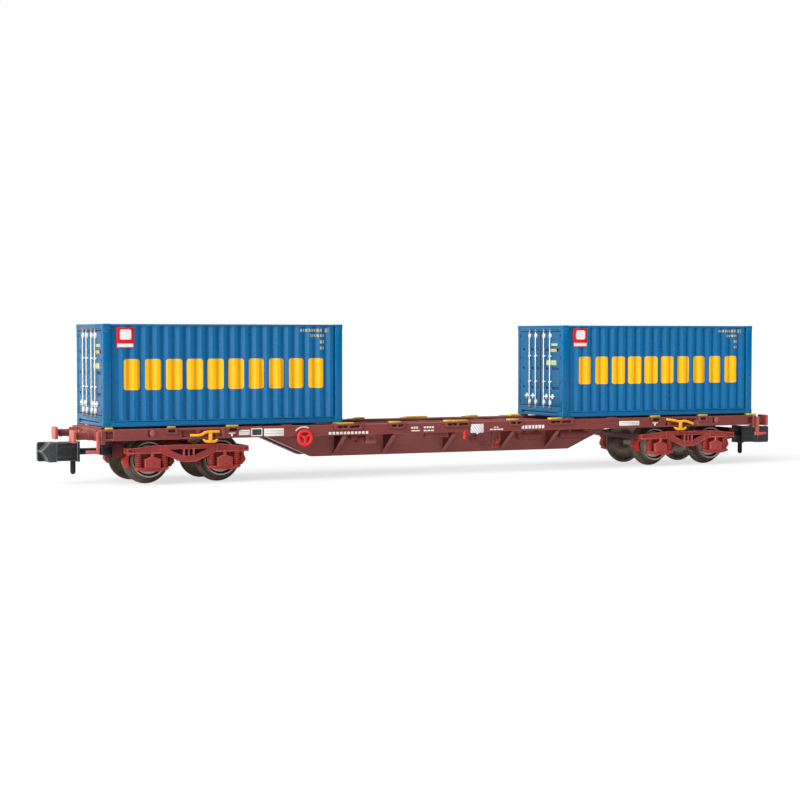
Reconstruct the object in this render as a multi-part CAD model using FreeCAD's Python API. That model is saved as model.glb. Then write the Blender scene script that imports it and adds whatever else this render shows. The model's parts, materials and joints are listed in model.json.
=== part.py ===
import FreeCAD, Part
import math
import os

# Model container flatcar, 1:160, with two 20-foot containers.
# All sizes are the model's own, in millimetres.
# X runs along the wagon, Y across it, Z up. The origin is under the wagon's middle,
# on the plane that the wheel flanges stand on. The near side is -Y.

# ---------------------------------------------------------------- driving dimensions
PIVOT_X = 44.375            # bogie pivot from the wagon's middle
HALF_WHEELBASE = 5.625      # axle from the bogie's pivot

SILL_OUTER = 8.3            # outer face of the side sills
SILL_WEB = 0.7              # thickness of a side sill's web
SILL_FLANGE_IN = 6.5        # inner edge of a side sill's flanges
SILL_BOTTOM = 6.7
SILL_TOP = 8.35
SILL_FLANGE = 0.3           # thickness of a side sill's flanges
SILL_END = 57.2             # sills end at the headstocks
SILL_RECESS = (56.1, 57.2)  # |x| range of the recess beside a headstock
HEADSTOCK_FACE = 58.0
HEADSTOCK_CORNER_BOTTOM = 6.2
HEADSTOCK_CORNER_IN = 7.2

GIRDER_OUTER = 3.4          # outer face of a deep centre girder's web
GIRDER_WEB = 0.4
GIRDER_TOP = 8.05
GIRDER_BOTTOM = 3.2
GIRDER_FLAT = 23.1          # half length of the girder's level bottom
GIRDER_END = 32.8           # where the slope meets the end stringers
STRINGER_BOTTOM = 7.45      # clears the wheel flanges below
GIRDER_FLANGE_IN = 1.0
GIRDER_FLANGE = 0.35

PAD_TOP = 8.65              # top of the spigot pads, where the containers rest
PAD_INNER = 6.9
PAD_OUTER = 8.15

CONTAINER_LENGTH = 37.86
CONTAINER_WIDTH = 15.24
CONTAINER_HEIGHT = 15.13
CONTAINER_X = 38.5          # container's middle from the wagon's middle

WHEEL_BACK = 3.7            # back face of a wheel from the centre line
WHEEL_WIDTH = 2.2
FLANGE_RADIUS = 3.65
TREAD_RADIUS = 2.88
AXLE_Z = FLANGE_RADIUS      # the wheel flanges stand on the floor

BUFFER_Y = 5.47
BUFFER_Z = 7.35
BUFFER_FACE = 61.6

COUPLER_PIN_X = 55.15       # coupler's pivot from the wagon's middle
COUPLER_NOSE = 65.1         # tip of the left coupler

CENTRE_PLATE_Z = 6.2        # the wagon rests on the bogies here
PIVOT_RADIUS = 1.2
PIVOT_CLEARANCE = 0.06
AXLE_STUB_RADIUS = 0.35
AXLE_STUB_CLEARANCE = 0.06

OUTRIGGER_X = (-19.05, -10.6, 0.0, 10.6, 19.05)


# ---------------------------------------------------------------- shape helpers
def vec(x, y, z):
    return FreeCAD.Vector(x, y, z)


def box(x0, x1, y0, y1, z0, z1):
    low = vec(min(x0, x1), min(y0, y1), min(z0, z1))
    return Part.makeBox(abs(x1 - x0), abs(y1 - y0), abs(z1 - z0), low)


def prism_xz(points, y0, y1):
    corners = [vec(x, y0, z) for x, z in points]
    wire = Part.makePolygon(corners + corners[:1])
    return Part.Face(wire).extrude(vec(0, y1 - y0, 0))


def prism_yz(points, x0, x1):
    corners = [vec(x0, y, z) for y, z in points]
    wire = Part.makePolygon(corners + corners[:1])
    return Part.Face(wire).extrude(vec(x1 - x0, 0, 0))


def prism_xy(points, z0, z1):
    corners = [vec(x, y, z0) for x, y in points]
    wire = Part.makePolygon(corners + corners[:1])
    return Part.Face(wire).extrude(vec(0, 0, z1 - z0))


def rod_x(x0, x1, y, z, radius):
    return Part.makeCylinder(radius, abs(x1 - x0), vec(min(x0, x1), y, z), vec(1, 0, 0))


def rod_y(x, y0, y1, z, radius):
    return Part.makeCylinder(radius, abs(y1 - y0), vec(x, min(y0, y1), z), vec(0, 1, 0))


def rod_z(x, y, z0, z1, radius):
    return Part.makeCylinder(radius, abs(z1 - z0), vec(x, y, min(z0, z1)), vec(0, 0, 1))


def fuse(shapes):
    whole = shapes[0]
    if len(shapes) > 1:
        whole = shapes[0].multiFuse(list(shapes[1:]))
    return whole.removeSplitter()


def cut(shape, tools):
    for tool in tools:
        shape = shape.cut(tool)
    return shape


def moved(shape, x=0.0, y=0.0, z=0.0):
    copy = shape.copy()
    copy.translate(vec(x, y, z))
    return copy


def turned_half(shape):
    """The same piece at the opposite corner: half a turn about the wagon's middle."""
    copy = shape.copy()
    copy.rotate(vec(0, 0, 0), vec(0, 0, 1), 180)
    return copy


def mirrored_y(shape):
    return shape.mirror(vec(0, 0, 0), vec(0, 1, 0))


def mirrored_x(shape):
    return shape.mirror(vec(0, 0, 0), vec(1, 0, 0))


def both_sides(shapes):
    return [copy for shape in shapes for copy in (shape, mirrored_y(shape))]


def both_ends(shapes):
    return [copy for shape in shapes for copy in (shape, mirrored_x(shape))]


def point_symmetric(shapes):
    return [copy for shape in shapes for copy in (shape, turned_half(shape))]


def save(node, shapes):
    """Write one node's solids to its own file."""
    solids = [solid for shape in shapes for solid in shape.Solids]
    for solid in solids:
        if not solid.isValid() or solid.Volume <= 0:
            raise RuntimeError("bad solid in " + node)
    whole = solids[0] if len(solids) == 1 else Part.makeCompound(solids)
    whole.exportStep(os.path.join("parts", node + ".step"))
    print(node, len(solids), "solids", round(sum(s.Volume for s in solids), 2), "mm3")


# ---------------------------------------------------------------- wagon frame
LEVER_POCKET = (39.3, 45.9)       # |x| range of the shallow pocket behind a lever
POCKET_DEPTH = 0.35


def side_sill():
    web_in = SILL_OUTER - SILL_WEB
    section = [
        (-SILL_OUTER, SILL_BOTTOM), (-SILL_FLANGE_IN, SILL_BOTTOM),
        (-SILL_FLANGE_IN, SILL_BOTTOM + SILL_FLANGE), (-web_in, SILL_BOTTOM + SILL_FLANGE),
        (-web_in, SILL_TOP - SILL_FLANGE), (-SILL_FLANGE_IN, SILL_TOP - SILL_FLANGE),
        (-SILL_FLANGE_IN, SILL_TOP), (-SILL_OUTER, SILL_TOP),
    ]
    sill = prism_yz(section, -SILL_END, SILL_END)
    pockets = [
        box(side * reach[0], side * reach[1], -SILL_OUTER - 1,
            -SILL_OUTER + POCKET_DEPTH, SILL_BOTTOM + SILL_FLANGE, SILL_TOP - SILL_FLANGE)
        for side in (-1, 1) for reach in (LEVER_POCKET, SILL_RECESS)
    ]
    return cut(sill, pockets)


def center_girder():
    """Deep fish-bellied girder: web, sloping bottom flange and a narrow top flange."""
    web_in = GIRDER_OUTER - GIRDER_WEB
    outline = [
        (-GIRDER_END, GIRDER_TOP), (-GIRDER_END, STRINGER_BOTTOM), (-GIRDER_FLAT, GIRDER_BOTTOM),
        (GIRDER_FLAT, GIRDER_BOTTOM), (GIRDER_END, STRINGER_BOTTOM), (GIRDER_END, GIRDER_TOP),
    ]
    web = prism_xz(outline, -GIRDER_OUTER, -web_in)
    band = [
        (-GIRDER_END, STRINGER_BOTTOM), (-GIRDER_FLAT, GIRDER_BOTTOM),
        (GIRDER_FLAT, GIRDER_BOTTOM), (GIRDER_END, STRINGER_BOTTOM),
        (GIRDER_END, STRINGER_BOTTOM + GIRDER_FLANGE),
        (GIRDER_FLAT, GIRDER_BOTTOM + GIRDER_FLANGE),
        (-GIRDER_FLAT, GIRDER_BOTTOM + GIRDER_FLANGE),
        (-GIRDER_END, STRINGER_BOTTOM + GIRDER_FLANGE),
    ]
    bottom_flange = prism_xz(band, -GIRDER_OUTER, -GIRDER_FLANGE_IN)
    top_flange = box(-GIRDER_END, GIRDER_END, -GIRDER_OUTER, -GIRDER_OUTER + 1.2,
                     GIRDER_TOP - GIRDER_FLANGE, GIRDER_TOP)
    return fuse([web, bottom_flange, top_flange])


STRINGER_WIDTH = 1.0


def end_stringer():
    """Shallow length of the centre girder that runs over a bogie to the headstock."""
    return box(-SILL_END, -GIRDER_END, -GIRDER_OUTER, -GIRDER_OUTER + STRINGER_WIDTH,
               STRINGER_BOTTOM, GIRDER_TOP)


def headstock():
    depth = HEADSTOCK_FACE - SILL_END
    plate = box(-HEADSTOCK_FACE, -SILL_END, -SILL_OUTER, SILL_OUTER, SILL_BOTTOM, SILL_TOP)
    corners = [
        box(-HEADSTOCK_FACE, -HEADSTOCK_FACE + depth, side * HEADSTOCK_CORNER_IN,
            side * SILL_OUTER, HEADSTOCK_CORNER_BOTTOM, SILL_BOTTOM)
        for side in (-1, 1)
    ]
    return fuse([plate] + corners)


OUTRIGGER_PLATE = 0.5
OUTRIGGER_FLANGE = 0.75


def outrigger(x):
    """Triangular bracket from the girder's foot up to the side sill, with an edge flange."""
    web_in = SILL_OUTER - SILL_WEB
    flange_low = SILL_BOTTOM + SILL_FLANGE
    plate_points = [
        (-GIRDER_OUTER, GIRDER_TOP), (-web_in, GIRDER_TOP), (-web_in, flange_low),
        (-SILL_FLANGE_IN, flange_low), (-SILL_FLANGE_IN, SILL_BOTTOM), (-7.3, SILL_BOTTOM),
        (-7.3, 6.5), (-GIRDER_OUTER, 3.55),
    ]
    edge_points = [(-GIRDER_OUTER, 3.55), (-7.3, 6.5), (-7.3, 6.25), (-GIRDER_OUTER, 3.25)]
    plate = prism_yz(plate_points, x - OUTRIGGER_PLATE / 2, x + OUTRIGGER_PLATE / 2)
    edge = prism_yz(edge_points, x - OUTRIGGER_FLANGE / 2, x + OUTRIGGER_FLANGE / 2)
    return fuse([plate, edge])


# cross bearers inside the girders:   x, width, bottom z
GIRDER_BEARERS = (
    (0.0, 1.2, 6.6), (10.6, 1.2, 6.6), (19.05, 1.2, 6.6), (27.5, 1.2, 6.8),
)
# cross bearers over the bogies:      x, width
END_BEARERS = ((33.5, 1.4), (53.6, 1.2))
# short bearers from girder to sill:  x, width
SIDE_BEARERS = ((27.5, 1.2), (5.3, 0.8), (14.8, 0.8))


def cross_bearers():
    web_in = GIRDER_OUTER - GIRDER_WEB
    sill_web = SILL_OUTER - SILL_WEB
    sill_low = SILL_BOTTOM + SILL_FLANGE
    pieces = []
    for x, width, bottom in GIRDER_BEARERS:
        bar = box(x - width / 2, x + width / 2, -web_in, web_in, bottom, GIRDER_TOP - GIRDER_FLANGE)
        pieces += [bar] if x == 0 else both_ends([bar])
    for x, width in END_BEARERS:
        inner = GIRDER_OUTER - STRINGER_WIDTH
        middle = box(-x - width / 2, -x + width / 2, -inner, inner, STRINGER_BOTTOM, GIRDER_TOP)
        outer = box(-x - width / 2, -x + width / 2, -sill_web, -GIRDER_OUTER,
                    STRINGER_BOTTOM, GIRDER_TOP)
        pieces += both_ends([middle] + both_sides([outer]))
    for x, width in SIDE_BEARERS:
        bar = box(-x - width / 2, -x + width / 2, -sill_web, -GIRDER_OUTER, sill_low, GIRDER_TOP)
        pieces += both_ends(both_sides([bar]))
    return pieces


BOLSTER_HALF_WIDTH = 1.6
CENTRE_PAD_RADIUS = 2.2


def frame_bolster():
    """Beam across the frame over a bogie, with the round pad that rests on the bogie."""
    sill_web = SILL_OUTER - SILL_WEB
    sill_low = SILL_BOTTOM + SILL_FLANGE
    inner = GIRDER_OUTER - STRINGER_WIDTH
    x0 = -PIVOT_X - BOLSTER_HALF_WIDTH
    x1 = -PIVOT_X + BOLSTER_HALF_WIDTH
    lower = box(x0, x1, -sill_web, sill_web, sill_low, STRINGER_BOTTOM)
    middle = box(x0, x1, -inner, inner, STRINGER_BOTTOM, GIRDER_TOP)
    outer = [box(x0, x1, side * sill_web, side * GIRDER_OUTER, STRINGER_BOTTOM, GIRDER_TOP)
             for side in (-1, 1)]
    pad = rod_z(-PIVOT_X, 0, CENTRE_PLATE_Z, sill_low, CENTRE_PAD_RADIUS)
    return fuse([lower, middle, pad] + outer)


# spigot pads on the side sills:      x, half length, spigot offsets from x
PADS = (
    (0.0, 1.9, ()),
    (10.6, 0.9, ()),
    (19.25, 2.05, (1.22,)),
    (37.6, 0.95, ()),
    (47.25, 0.8, ()),
    (56.6, 0.7, (-0.07,)),
)
SPIGOT_HALF = (0.3, 0.2)            # half size of a spigot along X and Y
SPIGOT_Y = 7.1
SPIGOT_TOP = 9.1
SPIGOT_REACH = 18.03                # spigot from the middle of its container
BRACKET_FACE = 8.5                  # outer face of the brackets under the pads
BRACKET_BOTTOM = 7.45


def spigot_pads():
    pieces = []
    for x, half, spigots in PADS:
        pad = box(-x - half, -x + half, -PAD_OUTER, -PAD_INNER, SILL_TOP, PAD_TOP)
        pins = [
            box(-x - offset - SPIGOT_HALF[0], -x - offset + SPIGOT_HALF[0],
                -SPIGOT_Y - SPIGOT_HALF[1], -SPIGOT_Y + SPIGOT_HALF[1], PAD_TOP, SPIGOT_TOP)
            for offset in spigots
        ]
        sides = both_sides([fuse([pad] + pins)])
        pieces += sides if x == 0 else both_ends(sides)
    return pieces


def spigot_brackets():
    """Rounded lugs on the sill's outer face, one under each pad."""
    pieces = []
    for x, half, _ in PADS[:-1]:
        reach = half + 0.2
        outline = [(-x - reach, SILL_TOP), (-x + reach, SILL_TOP),
                   (-x + reach, BRACKET_BOTTOM + 0.35), (-x + reach - 0.35, BRACKET_BOTTOM),
                   (-x - reach + 0.35, BRACKET_BOTTOM), (-x - reach, BRACKET_BOTTOM + 0.35)]
        sides = both_sides([prism_xz(outline, -BRACKET_FACE, -SILL_OUTER)])
        pieces += sides if x == 0 else both_ends(sides)
    return pieces


# ---------------------------------------------------------------- ends of the wagon
BUFFER_HEAD_SIZE = (0.45, 2.5, 1.86)    # thickness, width, height
BUFFER_HEAD_CORNER = 0.3
BUFFER_CASING = (0.62, 2.75)            # radius, length
BUFFER_PLUNGER_RADIUS = 0.45


def buffer_casing():
    radius, length = BUFFER_CASING
    foot = box(-HEADSTOCK_FACE - 0.25, -HEADSTOCK_FACE, -BUFFER_Y - 0.95, -BUFFER_Y + 0.95,
               BUFFER_Z - 0.62, BUFFER_Z + 0.95)
    tube = rod_x(-HEADSTOCK_FACE - length, -HEADSTOCK_FACE, -BUFFER_Y, BUFFER_Z, radius)
    return fuse([foot, tube])


def buffer_head():
    thickness, width, height = BUFFER_HEAD_SIZE
    plate = box(-BUFFER_FACE, -BUFFER_FACE + thickness, -BUFFER_Y - width / 2,
                -BUFFER_Y + width / 2, BUFFER_Z - height / 2, BUFFER_Z + height / 2)
    corners = [edge for edge in plate.Edges if abs(edge.Length - thickness) < 0.01]
    plate = plate.makeFillet(BUFFER_HEAD_CORNER, corners)
    plunger = rod_x(-BUFFER_FACE + thickness, -HEADSTOCK_FACE - BUFFER_CASING[1],
                    -BUFFER_Y, BUFFER_Z, BUFFER_PLUNGER_RADIUS)
    return fuse([plate, plunger])


def draw_hook():
    shank = box(-HEADSTOCK_FACE - 0.9, -HEADSTOCK_FACE, -0.2, 0.2, 7.35, 7.75)
    nose = box(-HEADSTOCK_FACE - 1.2, -HEADSTOCK_FACE - 0.8, -0.2, 0.2, 7.35, 8.1)
    return fuse([shank, nose])


CORNER_STEP = (7.9, 8.3)                # |y| range of a shunter's handle
CORNER_STEP_Z = (4.85, 8.1)
CORNER_STEP_UPRIGHT = (58.1, 58.55)     # |x| range of its upright
CORNER_STEP_TIP = 60.1


def corner_handle():
    """Red shunter's handle that hangs from the headstock's corner, with a flat foot."""
    y0, y1 = CORNER_STEP
    low, high = CORNER_STEP_Z
    inner, outer = CORNER_STEP_UPRIGHT
    upright = box(-outer, -inner, -y1, -y0, low, high)
    stub = box(-inner, -HEADSTOCK_FACE, -y1, -y0, 7.3, high)
    foot_outline = [(-CORNER_STEP_TIP, low + 0.3), (-outer, low), (-inner, low),
                    (-inner, low + 0.5), (-outer, low + 0.5), (-CORNER_STEP_TIP, low + 0.45)]
    foot = prism_xz(foot_outline, -y1, -y0)
    return fuse([upright, stub, foot])


# ---------------------------------------------------------------- hand controls
HANDWHEEL = (-26.35, 6.5)               # x, z of its middle
HANDWHEEL_RADIUS = 1.35
HANDWHEEL_RIM = 0.24                    # radius of the rim's section
HANDWHEEL_Y = 8.85


def handwheel():
    x, z = HANDWHEEL
    ring_radius = HANDWHEEL_RADIUS - HANDWHEEL_RIM
    rim = Part.makeTorus(ring_radius, HANDWHEEL_RIM, vec(x, -HANDWHEEL_Y, z), vec(0, 1, 0))
    hub = rod_y(x, -HANDWHEEL_Y - 0.2, -HANDWHEEL_Y + 0.2, z, 0.32)
    spokes = []
    for angle in (90, 210, 330):
        turn = math.radians(angle)
        spoke = box(0, ring_radius, -0.14, 0.14, -0.16, 0.16)
        spoke.rotate(vec(0, 0, 0), vec(0, 1, 0), -math.degrees(turn))
        spokes.append(moved(spoke, x, -HANDWHEEL_Y, z))
    shaft = rod_y(x, -HANDWHEEL_Y, -GIRDER_OUTER, z, 0.18)
    return fuse([rim, hub, shaft] + spokes)


LEVER_FACE = (8.3, 8.7)                 # |y| range of the levers
LEVER_HALF_HEIGHT = 0.19
# bar of each lever, x and z of its bends; then the x of the anchor-shaped weight below it
LEVERS = (
    (((-44.5, 7.28), (-42.7, 7.28), (-42.0, 7.68), (-39.9, 7.75)), -41.3),
    (((39.3, 8.0), (41.8, 7.62), (42.9, 7.55), (44.7, 7.12)), 42.1),
)


def changeover_lever(bends, anchor_x):
    y0, y1 = LEVER_FACE
    upper = [(x, z + LEVER_HALF_HEIGHT) for x, z in bends]
    lower = [(x, z - LEVER_HALF_HEIGHT) for x, z in reversed(bends)]
    bar = prism_xz(upper + lower, -y1, -y0)
    stem = box(anchor_x - 0.27, anchor_x + 0.27, -y1, -y0, 6.3, 7.6)
    bow_outline = [(anchor_x - 1.25, 6.45), (anchor_x - 0.95, 6.1), (anchor_x + 0.85, 6.1),
                   (anchor_x + 1.2, 6.5), (anchor_x + 0.9, 6.62), (anchor_x + 0.6, 6.42),
                   (anchor_x - 0.6, 6.42), (anchor_x - 1.0, 6.62)]
    bow = prism_xz(bow_outline, -y1, -y0)
    return fuse([bar, stem, bow])


# upright red lever under the near sill, and the sloping one on the shaft bracket
RELEASE_UPRIGHT = (1.05, 1.4, -8.0, -7.7, 5.6)
RELEASE_ARM = ((7.3, 4.1), (7.75, 4.1), (8.6, 5.4), (8.15, 5.5))
RELEASE_ARM_Y = (-6.75, -6.45)


def release_levers():
    x0, x1, y0, y1, low = RELEASE_UPRIGHT
    return [box(x0, x1, y0, y1, low, SILL_BOTTOM), prism_xz(RELEASE_ARM, *RELEASE_ARM_Y)]


# ---------------------------------------------------------------- underframe equipment
# air reservoirs:   x start, x end, y, z, radius
RESERVOIRS = ((11.3, 17.0, -5.5, 5.75, 0.75), (20.1, 25.7, -5.5, 5.75, 0.75))


def air_reservoirs():
    pieces = []
    for x0, x1, y, z, radius in RESERVOIRS:
        barrel = rod_x(x0, x1, y, z, radius)
        straps = [box(x - 0.2, x + 0.2, -7.2, y, 6.3, SILL_BOTTOM) for x in (x0 + 1.2, x1 - 1.2)]
        pieces.append(fuse([barrel] + straps))
    return pieces


# boxes of each unit under the near sill:  x0, x1, y0, y1, z0, z1
LOAD_BOX = ((-5.5, -1.5, -8.1, -7.1, 6.0, SILL_BOTTOM),)
DISTRIBUTOR = ((-17.9, -13.6, -7.0, -5.2, 5.6, 6.5), (-16.2, -15.2, -7.4, -6.6, 6.5, SILL_BOTTOM))
DISTRIBUTOR_CAPS = (-16.6, -14.6)       # x of the round covers on its face
SHAFT_BRACKET = (
    (6.7, 7.05, -7.3, -6.9, 4.2, SILL_BOTTOM), (7.9, 8.2, -7.3, -6.9, 4.9, SILL_BOTTOM),
    (6.7, 8.2, -7.3, -6.9, 4.0, 4.35), (7.3, 7.7, -6.9, -6.75, 4.05, 4.35),
    (6.7, 7.05, -6.9, -3.4, 4.2, 4.5),
)
VALVE = ((3.2, 4.6, -6.6, -5.4, 5.0, 6.3), (3.6, 4.2, -7.2, -5.4, 6.3, SILL_BOTTOM))


def brake_equipment():
    """Load box, distributor, change-over shaft bracket and valve under the near sill."""
    caps = [rod_y(x, -7.4, -7.0, 5.9, 0.5) for x in DISTRIBUTOR_CAPS]
    units = [fuse([box(*row) for row in rows])
             for rows in (LOAD_BOX, SHAFT_BRACKET, VALVE)]
    return units + [fuse([box(*row) for row in DISTRIBUTOR] + caps)]


PULL_ROD = (25.5, 5.2, 0.22)            # half length, z, radius
BRAKE_CYLINDER = (-8.0, -2.5, 1.1)      # x start, x end, radius
PULL_ROD_HANGERS = (-19.05, 0.0, 10.6, 19.05)


def brake_pull_rod():
    """Rod between the girders that works the brakes of both bogies, and its cylinder."""
    half, z, radius = PULL_ROD
    rod = rod_x(-half, half, 0, z, radius)
    x0, x1, cylinder_radius = BRAKE_CYLINDER
    cylinder = rod_x(x0, x1, 0, z, cylinder_radius)
    hangers = [box(x - 0.2, x + 0.2, -0.25, 0.25, z, 6.6) for x in PULL_ROD_HANGERS]
    return fuse([rod, cylinder] + hangers)


# blank boards on the near sill:       x0, x1, z0, z1
WHITE_BOARDS = (
    (-36.8, -35.05, 7.1, 7.9), (-34.87, -33.0, 6.85, 8.15), (-32.8, -29.55, 6.8, 8.05),
    (30.06, 34.0, 7.05, 7.85), (5.8, 8.3, 6.85, 7.45),
)
BOARD_THICKNESS = 0.08


def marking_boards():
    pieces = []
    for x0, x1, z0, z1 in WHITE_BOARDS:
        pieces.append(box(x0, x1, -SILL_OUTER - BOARD_THICKNESS, -SILL_OUTER, z0, z1))
    return point_symmetric(pieces)


PENNANT = (2.3, 4.6, 6.55, 7.9)


def instruction_plates():
    """Plate with a point at its foot that hangs on the sill, one on each side."""
    x0, x1, z0, z1 = PENNANT
    middle = (x0 + x1) / 2
    outline = [(x0, z1), (x1, z1), (x1, z0), (middle + 0.3, z0), (middle, z0 - 0.25),
               (middle - 0.3, z0), (x0, z0)]
    plate = prism_xz(outline, -SILL_OUTER - 0.12, -SILL_OUTER)
    return point_symmetric([plate])


# ---------------------------------------------------------------- bogie
# The left bogie is drawn about its own pivot with its outer end towards -X.
SIDE_FRAME_IN = 6.5
SIDE_FRAME_OUT = 7.6
SIDE_FRAME_END = 9.4
ARM_BOTTOM = 4.65
ARM_TOP = 5.87
ARM_END_TOP = 5.48
ARM_KNEE = 8.2
ARM_SHOULDER = 4.9
# half outline of a side frame's belly:  x, z
BELLY = ((4.25, 4.65), (1.3, 3.38), (0.9, 3.27))
# openings in a side frame, given for +X:  x, z of the corners
FRAME_OPENINGS = (
    ((3.1, 5.2), (0.85, 5.2), (0.85, 4.16)),
    ((0.65, 5.2), (0.07, 5.2), (0.07, 4.16), (0.65, 4.16)),
)
BOX_FACE = 8.0                      # outer face of the axleboxes
BOX_HALF = 1.2
SPRING_OFFSET = 2.0
SPRING_RADIUS = 0.52
SPRING_Y = 7.1
SPRING_SEAT_TOP = 2.55


def bogie_side_frame():
    upper = [(SIDE_FRAME_END, ARM_BOTTOM), (SIDE_FRAME_END, ARM_END_TOP),
             (ARM_KNEE, ARM_END_TOP + 0.05), (ARM_SHOULDER, ARM_TOP)]
    half = list(BELLY[::-1]) + upper
    outline = half + [(-x, z) for x, z in half[::-1]]
    plate = prism_xz(outline, -SIDE_FRAME_OUT, -SIDE_FRAME_IN)
    openings = []
    for side in (-1, 1):
        for corners in FRAME_OPENINGS:
            turned = [(side * x, z) for x, z in corners]
            openings.append(prism_xz(turned, -SIDE_FRAME_OUT - 1, -SIDE_FRAME_IN + 1))
    return cut(plate, openings)


def axlebox(x):
    """Six-sided axlebox with its spring seats, and a stem up to the side frame's arm."""
    half, shoulder, roof, stem = BOX_HALF, 3.8, 4.17, 0.2
    body_outline = [(x - half, SPRING_SEAT_TOP), (x - half, shoulder), (x - stem, roof),
                    (x - stem, ARM_BOTTOM), (x + stem, ARM_BOTTOM), (x + stem, roof),
                    (x + half, shoulder), (x + half, SPRING_SEAT_TOP)]
    body = prism_xz(body_outline, -BOX_FACE + 0.25, -SIDE_FRAME_IN - 0.1)
    inset = 0.06
    cover_outline = [(x - half + inset, SPRING_SEAT_TOP + inset), (x - half + inset, shoulder),
                     (x - stem, roof - inset), (x + stem, roof - inset),
                     (x + half - inset, shoulder), (x + half - inset, SPRING_SEAT_TOP + inset)]
    cover = prism_xz(cover_outline, -BOX_FACE, -BOX_FACE + 0.25)
    seat_outline = [(x - 2.5, SPRING_SEAT_TOP), (x + 2.5, SPRING_SEAT_TOP), (x + 2.3, 2.25),
                    (x + 1.2, 1.97), (x - 1.2, 1.97), (x - 2.3, 2.25)]
    seat = prism_xz(seat_outline, -SPRING_Y - 0.62, -SPRING_Y + 0.5)
    bore = rod_y(x, -7.35, -SIDE_FRAME_IN, AXLE_Z, AXLE_STUB_RADIUS + AXLE_STUB_CLEARANCE)
    return cut(fuse([body, cover, seat]), [bore])


def bogie_springs(x):
    """Envelopes of the coil springs, cut to the side frame's belly."""
    coils = [rod_z(x + side * SPRING_OFFSET, -SPRING_Y, SPRING_SEAT_TOP, ARM_BOTTOM, SPRING_RADIUS)
             for side in (-1, 1)]
    return [cut(coil, [bogie_side_frame()]) for coil in coils]


BOLSTER_HALF = 1.65
BOLSTER_BOTTOM = 4.6
BOLSTER_TOP = 5.9
END_BEAM = (9.25, 9.62)
END_BEAM_TOP = 5.48
END_PLATE = (9.62, 9.95)            # deep plate on the outer end beam
END_PLATE_HALF = 6.1
END_PLATE_BOTTOM = 3.7
END_PLATE_SIDE_BOTTOM = 4.3
END_PLATE_TOP = 6.2


def bogie_cross_beams():
    """Bolster with its centre plate and pivot bore, and the beam across each end."""
    bolster = box(-BOLSTER_HALF, BOLSTER_HALF, -SIDE_FRAME_IN, SIDE_FRAME_IN,
                  BOLSTER_BOTTOM, BOLSTER_TOP)
    plate = rod_z(0, 0, BOLSTER_TOP, CENTRE_PLATE_Z, CENTRE_PAD_RADIUS)
    bore = rod_z(0, 0, BOLSTER_BOTTOM - 1, CENTRE_PLATE_Z + 1, PIVOT_RADIUS + PIVOT_CLEARANCE)
    centre = cut(fuse([bolster, plate]), [bore])
    inner, outer = [box(side * END_BEAM[0], side * END_BEAM[1], -SIDE_FRAME_IN, SIDE_FRAME_IN,
                        ARM_BOTTOM, END_BEAM_TOP) for side in (1, -1)]
    half, low = END_PLATE_HALF, END_PLATE_BOTTOM
    plate_outline = [(-half, END_PLATE_TOP), (-half, END_PLATE_SIDE_BOTTOM), (-half / 2, low),
                     (half / 2, low), (half, END_PLATE_SIDE_BOTTOM), (half, END_PLATE_TOP)]
    plate = prism_yz(plate_outline, -END_PLATE[1], -END_PLATE[0])
    return [centre, inner, fuse([outer, plate])]


SHOE_INNER = TREAD_RADIUS + 0.22
SHOE_BACK = 3.95                    # furthest point of a shoe from its axle
SHOE_TOP = 4.55
SHOE_Y = (4.5, 5.8)
HANGER_HEIGHT = 0.35                # bar from a shoe's top to the side frame


def brake_blocks():
    """A shoe on each side of every wheel, hung on a short bar from the side frame."""
    pieces = []
    for axle_x in (-HALF_WHEELBASE, HALF_WHEELBASE):
        for side in (-1, 1):
            outer = side * axle_x > 0
            top = ARM_BOTTOM if outer else BOLSTER_BOTTOM
            shoe_outline = [(side * x, z) for x, z in (
                (2.4, 2.55), (SHOE_BACK - 0.65, 2.5), (SHOE_BACK, 3.3), (SHOE_BACK - 0.5, top),
                (SHOE_BACK - 0.9, top), (SHOE_BACK - 0.9, SHOE_TOP), (2.4, SHOE_TOP))]
            outline = [(axle_x + x, z) for x, z in shoe_outline]
            wheel_room = rod_y(axle_x, -7, 7, AXLE_Z, SHOE_INNER)
            shoe = cut(prism_xz(outline, -SHOE_Y[1], -SHOE_Y[0]), [wheel_room])
            hanger_x = sorted(axle_x + side * (SHOE_BACK - back) for back in (0.9, 0.5))
            hanger = box(hanger_x[0], hanger_x[1], -SIDE_FRAME_IN, -SHOE_Y[1],
                         top - HANGER_HEIGHT, top)
            pieces += both_sides([fuse([shoe, hanger])])
    return pieces


POCKET_HALF = 1.25
POCKET_Z = (4.0, 5.5)
POCKET_END = 11.5                   # outer end of the pocket from the bogie's pivot
PIN_RADIUS = 0.3


def coupler_pocket():
    """Slot on the bogie's outer end beam that holds the coupler's shank on a pin."""
    low, high = POCKET_Z
    pin_x = -(COUPLER_PIN_X - PIVOT_X)
    block = box(-POCKET_END, -END_PLATE[1], -POCKET_HALF, POCKET_HALF, low, high)
    slot = box(-POCKET_END - 1, -END_PLATE[1] - 0.15, -0.95, 0.95, low + 0.25, high - 0.15)
    pin = rod_z(pin_x, 0, low, high, PIN_RADIUS)
    return fuse([cut(block, [slot]), pin])


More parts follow.
